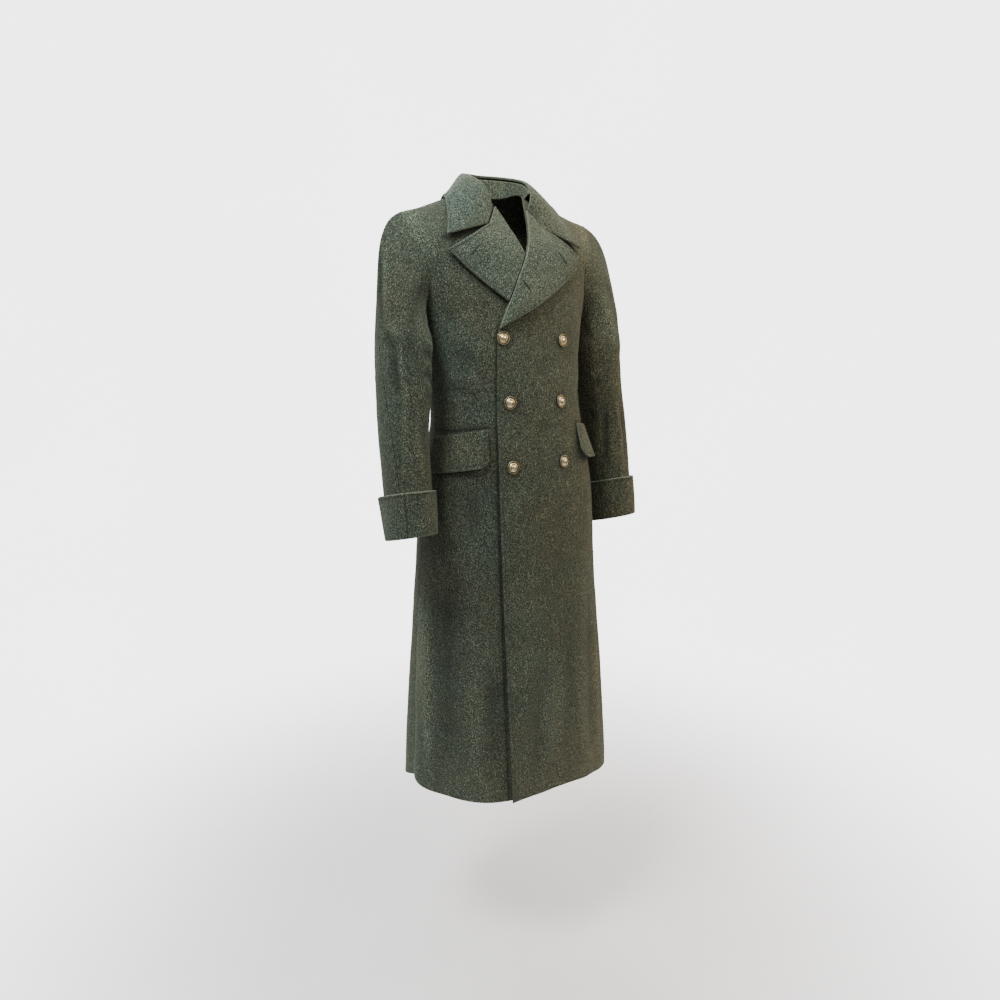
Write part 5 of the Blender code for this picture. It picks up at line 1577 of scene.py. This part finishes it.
def make_buttonhole(name, side, ends, outer, down, over, facing):
    """A worked buttonhole: a raised, narrow ring of twist round its slit."""
    normals = grid_normals(outer)
    if np.sum(normals[outer.shape[0] // 2, outer.shape[1] // 2] * facing) < 0:
        normals = -normals
    spots = []
    for d, o in (ends[:2], ends[2:]):
        spots.append(np.unravel_index(((down - d) ** 2 + (over - o) ** 2).argmin(), down.shape))
    start, end = outer[spots[0]], outer[spots[1]]
    normal = unit(normals[spots[0]] + normals[spots[1]])
    way = unit(end - start - normal * np.sum((end - start) * normal))
    side_way = np.cross(normal, way)
    half = np.linalg.norm(end - start) / 2
    middle = (start + end) / 2 + normal * 0.0003
    ring, faces, rounds = [], [], 8
    path = np.linspace(0, 2 * math.pi, 56, endpoint=False)
    turn = np.linspace(0, 2 * math.pi, rounds, endpoint=False)
    for p in path:
        run = np.sign(np.cos(p)) * np.abs(np.cos(p)) ** 0.45 * half
        wide = np.sign(np.sin(p)) * np.abs(np.sin(p)) ** 0.8 * BUTTONHOLE_HALF_WIDTH
        centre = middle + way * run + side_way * wide
        outwards = unit(way * np.cos(p) * 0.4 + side_way * np.sin(p))
        thick = BUTTONHOLE_CORD * (1 + 0.12 * math.sin(28 * p))
        ring.append(centre + thick * (np.cos(turn)[:, None] * outwards + np.sin(turn)[:, None] * normal))
    for i in range(len(path)):
        for j in range(rounds):
            n, m = (i + 1) % len(path), (j + 1) % rounds
            faces.append([i * rounds + j, i * rounds + m, n * rounds + m, n * rounds + j])
    return solid(name, np.concatenate(ring), faces)


def make_collar(wool, thread):
    """The fall, turned down over the stand, and the stand on the neckline."""
    way = 2 * spread(0.62, "stitched", "stitched", TRIM_STEP)[0] - 1
    over = spread(0.10, "free", "stitched", TRIM_STEP)[0]
    over[np.abs(over - NOTCH_SHARE).argmin()] = NOTCH_SHARE
    way = way[:, None] * np.ones((1, len(over)))
    over = over[None, :] * np.ones((len(way), 1))
    inner = hang(collar_face(way, over))
    normals = grid_normals(inner)
    kinds = ("stitched", "stitched", "free", "stitched")
    points = inner + normals * DOUBLE_WALL
    calm = np.sin(math.pi * np.clip(over, 0, 1)) * smooth_step(1 - np.abs(way), 0.0, 0.1)
    piece, outer = cloth("collar_leaf", points, normals, DOUBLE_WALL, kinds, swells(points) * calm * 0.8)
    dress(piece, wool, ["collar_fall"])
    facing = normals[outer.shape[0] // 2, outer.shape[1] // 2]
    k = EDGE_STEPS["stitched"].index(STITCH_LINE_MM)
    lines = [stitch_line(outer, facing, "last column", skip=k)]
    for place in ("first row", "last row"):
        line, ways = stitch_line(outer, facing, place)
        open_end = over[0] > NOTCH_SHARE + 0.04
        open_end[-k:] = False
        lines.append((line[open_end], ways[open_end]))
    sewing = stitches("collar_topstitching", lines)
    dress(sewing, thread)
    declare("collar_fall", outer)

    way = (2 * spread(0.30, "free", "free", TRIM_STEP)[0] - 1) * STAND_END
    rows = spread(0.042, "seam", "free", TRIM_STEP)[0]
    roll, _ = collar_curves(np.abs(way))
    foot, foot_normal = bare_place(*neckline(np.abs(way)))
    foot = foot + foot_normal * SEAM_GAP
    top = roll - (0.0, 0.0, STAND_SHORT)
    inner = foot[:, None] + (top - foot)[:, None] * rows[None, :, None]
    outwards = np.repeat(outward_of(roll)[:, None], len(rows), axis=1)
    outer = inner + outwards * WALL
    for face in (inner, outer, outwards):
        face[..., 0] *= np.where(way < 0, -1.0, 1.0)[:, None]
    inner, outer = hang(inner), hang(outer)
    normals = unit(outer - inner)
    piece, face = cloth("collar_band", outer, normals, WALL, ("free", "free", "seam", "free"),
                        np.zeros(outer.shape[:-1]))
    dress(piece, wool, ["collar_stand"])
    declare("collar_stand", face)


def make_flap(side, name, wool, thread):
    """A slanted hip flap with rounded lower corners, sewn in along its top edge."""
    share = spread(FLAP_LENGTH, "stitched", "stitched", TRIM_STEP)[0][:, None]
    down = spread(FLAP_HEIGHT, "welt", "stitched", TRIM_STEP)[0][None, :]
    top = FLAP_TOP_FRONT_H + (FLAP_TOP_BACK_H - FLAP_TOP_FRONT_H) * share
    near_end = np.minimum(share, 1 - share) * FLAP_LENGTH
    cut = np.clip(FLAP_CORNER - near_end, 0, FLAP_CORNER)
    corner = FLAP_CORNER - np.sqrt(FLAP_CORNER ** 2 - cut ** 2)
    height = top - down * (FLAP_HEIGHT - corner)
    along = height - SHOULDER_H
    for _ in range(12):
        first = across_at(side, along, FLAP_FRONT_X)
        across = first + (FLAP_BACK_ACROSS - first) * share
        along = along + 0.8 * (height - trunk_bare(side, along, across)[..., 2])
    x = trunk_bare(side, along, across)[..., 0] * side
    points, normals = front_surface(side, along, across, x)
    fall = (top - height) / FLAP_HEIGHT
    settled = 1 - (1 - FLAP_BACK_LIFT_SHARE) * smooth_step(share, 0.30, 0.85)
    lift = 2.5 * SEAM_GAP + FLAP_LIFT[side] * settled * fall ** FLAP_CURL
    points = points + normals * (lift + DOUBLE_WALL)[..., None]
    relief = (swells(points) * 0.6 + 0.0005) * np.sin(math.pi * share) * np.sin(math.pi * down)
    kinds = ("stitched", "stitched", "welt", "stitched")
    piece, outer = cloth(f"hip_flap_{name}", points, normals, DOUBLE_WALL, kinds, relief)
    dress(piece, wool, [f"flap_{name}"])
    facing = normals[outer.shape[0] // 2, outer.shape[1] // 2]
    k = EDGE_STEPS["stitched"].index(STITCH_LINE_MM)
    lines = [stitch_line(outer, facing, "last column", skip=k)]
    for place in ("first row", "last row"):
        line, ways = stitch_line(outer, facing, place)
        lines.append((line[4:-k - 3], ways[4:-k - 3]))
    sewing = stitches(f"flap_topstitching_{name}", lines)
    dress(sewing, thread)
    declare(f"flap_{name}", outer)


def make_button(side, name, row, brass):
    """A domed button with a rim ring and an inner ring round its bright middle."""
    x, height = BUTTON_ROWS[row]
    place, axis = front_place(1, side * x, height)
    first = unit(np.cross(axis, np.array([0.0, 0.0, 1.0])))
    second = np.cross(axis, first)
    seat = place + axis * (SEAM_GAP - 0.0003)
    turn = np.linspace(0, 2 * math.pi, BUTTON_SEGMENTS, endpoint=False)
    face = np.array(BUTTON_FACE)
    rings = [seat + r * 0.001 * (np.cos(turn)[:, None] * first + np.sin(turn)[:, None] * second)
             + rise * 0.001 * axis for r, rise, _ in face]
    points = np.concatenate(rings + [seat[None], (seat + axis * BUTTON_TOP * 0.001)[None]])
    count = BUTTON_SEGMENTS
    faces = []
    for i in range(len(rings) - 1):
        for j in range(count):
            k = (j + 1) % count
            faces.append([i * count + j, i * count + k, (i + 1) * count + k, (i + 1) * count + j])
    back, top = len(points) - 2, len(points) - 1
    last = (len(rings) - 1) * count
    for j in range(count):
        k = (j + 1) % count
        faces.append([back, k, j])
        faces.append([top, last + j, last + k])
    piece = solid(f"gilt_button_{name}_{row + 1}", points, faces)
    # Painted darkness of each ring: grime in the grooves, painted shade on the outer rim
    groove = np.concatenate([np.repeat(face[:, 2], count), [1.0, 0.0]])
    store = piece.data.attributes.new("groove", "FLOAT", "POINT")
    store.data.foreach_set("value", groove.astype(np.float32))
    dress(piece, brass, [f"button_{name}_{row + 1}"])


def make_floor():
    """A plain pale floor, soft at its rim."""
    finish = bpy.data.materials.new("pale studio floor")
    finish.use_nodes = True
    tree = finish.node_tree
    shader = tree.nodes["Principled BSDF"]
    shader.inputs["Roughness"].default_value = 0.9
    shader.inputs["Specular IOR Level"].default_value = 0.1
    where = tree.nodes.new("ShaderNodeTexCoord").outputs["Object"]
    grain = add_node(tree, "ShaderNodeTexNoise", {"Scale": 6.0, "Detail": 2.0}, {"Vector": where})
    tone = add_node(tree, "ShaderNodeValToRGB", {"stops": ((0.3, "#EFEDEE"), (0.7, "#F2F0F1"))},
                    {"Fac": grain.outputs["Fac"]})
    tree.links.new(tone.outputs["Color"], shader.inputs["Base Color"])
    distance = add_node(tree, "ShaderNodeVectorMath", {"operation": "LENGTH"}, {0: where})
    fade = add_node(tree, "ShaderNodeMapRange",
                    {"From Min": 0.4, "From Max": 1.7, "To Min": 1.0, "To Max": 0.0,
                     "interpolation_type": "SMOOTHSTEP"}, {"Value": distance.outputs["Value"]})
    tree.links.new(fade.outputs["Result"], shader.inputs["Alpha"])
    turn = np.linspace(0, 2 * math.pi, 96, endpoint=False)
    rim = np.stack([2.5 * np.cos(turn), 2.5 * np.sin(turn), 0 * turn], -1)
    mesh = bpy.data.meshes.new("floor")
    mesh.from_pydata(rim.tolist() + [(0, 0, 0)], [], [(i, (i + 1) % 96, 96) for i in range(96)])
    mesh.materials.append(finish)
    floor = bpy.data.objects.new("floor", mesh)
    floor.location.z = -SUPPORT_HEIGHT
    bpy.context.scene.collection.objects.link(floor)


def add_lamp(name, place, aim, size, power, colour):
    """A large soft studio lamp, turned towards a place on the coat."""
    lamp = bpy.data.lights.new(name, "AREA")
    lamp.shape = "RECTANGLE"
    lamp.size, lamp.size_y = size
    lamp.energy = power
    lamp.color = hex_colour(colour)[:3]
    item = bpy.data.objects.new(name, lamp)
    item.location = place
    item.rotation_euler = (Vector(aim) - Vector(place)).to_track_quat("-Z", "Y").to_euler()
    bpy.context.scene.collection.objects.link(item)


def make_studio():
    """Soft light from above, a high key from the left and a weak warm lamp from the right."""
    world = bpy.data.worlds.new("pale studio")
    world.use_nodes = True
    tree = world.node_tree
    sky = tree.nodes["Background"]
    sky.inputs["Color"].default_value = hex_colour("#F6F4F5")
    way = tree.nodes.new("ShaderNodeTexCoord").outputs["Generated"]
    height = add_node(tree, "ShaderNodeSeparateXYZ", {}, {"Vector": way})
    ceiling = add_node(tree, "ShaderNodeMapRange",
                       {"From Min": 0.0, "From Max": 1.0, "To Min": 0.32, "To Max": 1.4},
                       {"Value": height.outputs["Z"]})
    tree.links.new(ceiling.outputs["Result"], sky.inputs["Strength"])
    bpy.context.scene.world = world
    add_lamp("key", (-1.6, -0.5, 2.3), (0.0, 0.0, -0.1), (1.0, 1.0), 105.0, "#EFF8F8")
    add_lamp("front", (1.5, -2.5, 1.3), (0.0, 0.0, -0.4), (1.2, 1.2), 38.0, "#FFF4E2")
    add_lamp("warm side", (2.5, -0.7, 0.5), (0.1, 0.0, -0.6), (0.8, 1.6), 30.0, "#FFDCA6")
    add_lamp("ceiling", (-0.2, -0.1, 1.7), (0.0, 0.0, 0.0), (0.7, 0.7), 16.0, "#FFFFFF")
    add_lamp("back", (0.6, 2.6, 1.5), (0.0, 0.0, -0.4), (1.4, 1.4), 75.0, "#FFFFFF")


def make_backdrop():
    """A pale studio dome that stands behind the coat and casts no light of its own on it."""
    finish, tree, shader = new_finish("pale studio backdrop")
    where = tree.nodes.new("ShaderNodeTexCoord").outputs["Object"]
    grain = add_node(tree, "ShaderNodeTexNoise", {"Scale": 0.3, "Detail": 1.0}, {"Vector": where})
    tone = add_node(tree, "ShaderNodeValToRGB", {"stops": ((0.3, "#F2F0F1"), (0.7, "#F6F4F5"))},
                    {"Fac": grain.outputs["Fac"]})
    tree.links.new(tone.outputs["Color"], shader.inputs["Emission Color"])
    shader.inputs["Emission Strength"].default_value = 4.8
    shader.inputs["Base Color"].default_value = hex_colour("#000000")
    shader.inputs["Specular IOR Level"].default_value = 0.0
    turn = np.linspace(0, 2 * math.pi, 48, endpoint=False)
    rise = np.linspace(-math.pi / 2 + 0.05, math.pi / 2 - 0.05, 24)[:, None]
    rings = np.stack([np.cos(rise) * np.cos(turn), np.cos(rise) * np.sin(turn), np.sin(rise) + 0 * turn], -1)
    faces = [(i * 48 + j, i * 48 + (j + 1) % 48, (i + 1) * 48 + (j + 1) % 48, (i + 1) * 48 + j)
             for i in range(23) for j in range(48)]
    faces += [tuple(range(48)), tuple(range(23 * 48, 24 * 48))]
    mesh = bpy.data.meshes.new("backdrop")
    mesh.from_pydata((rings.reshape(-1, 3) * BACKDROP_RADIUS).tolist(), [], faces)
    mesh.materials.append(finish)
    dome = bpy.data.objects.new("backdrop", mesh)
    bpy.context.scene.collection.objects.link(dome)
    for ray in ("diffuse", "glossy", "shadow", "transmission", "volume_scatter"):
        setattr(dome, f"visible_{ray}", False)


def make_camera():
    """The photograph's point of view."""
    lens = bpy.data.cameras.new("camera")
    lens.lens = 29.43
    lens.sensor_width = 36.0
    item = bpy.data.objects.new("camera", lens)
    item.location = (-0.851, -1.393, -0.141)
    item.rotation_euler = (math.radians(90 - 13.693), 0.0, math.radians(-31.769))
    bpy.context.scene.collection.objects.link(item)
    bpy.context.scene.camera = item


def main():
    """Dress every piece of the coat, light it and place the camera."""
    body = wool_melton("wool melton, body", "#161A17", "#343A34", "#555B50", "#94958A", "#6A6450")
    # The collar and lapels take a lighter copy of the body's melton: painted light, standing in for the stronger
    # light from above on them
    trim_painted_lighter = wool_melton("wool melton, collar and facings", "#191F1B", "#3A443D", "#5F6860", "#A0A59C", "#6C6B5C")
    thread = buttonhole_twist("cotton twist, field grey", "#4A5047", "#262B26")
    dark_thread = buttonhole_twist("silk twist, black green", "#1E221C", "#0C0E0B")
    brass = gilt_brass("brass, stamped and gilt")
    for side, name in ((1, "left"), (-1, "right")):
        make_panels(side, name, body, thread)
        make_sleeve(side, name, body)
        make_cuff(side, name, body, thread)
        make_lapel(side, name, trim_painted_lighter, thread, dark_thread)
        make_flap(side, name, body, thread)
        for row in range(len(BUTTON_ROWS)):
            make_button(side, name, row, brass)
    make_collar(trim_painted_lighter, thread)
    make_floor()
    make_backdrop()
    make_studio()
    make_camera()


main()
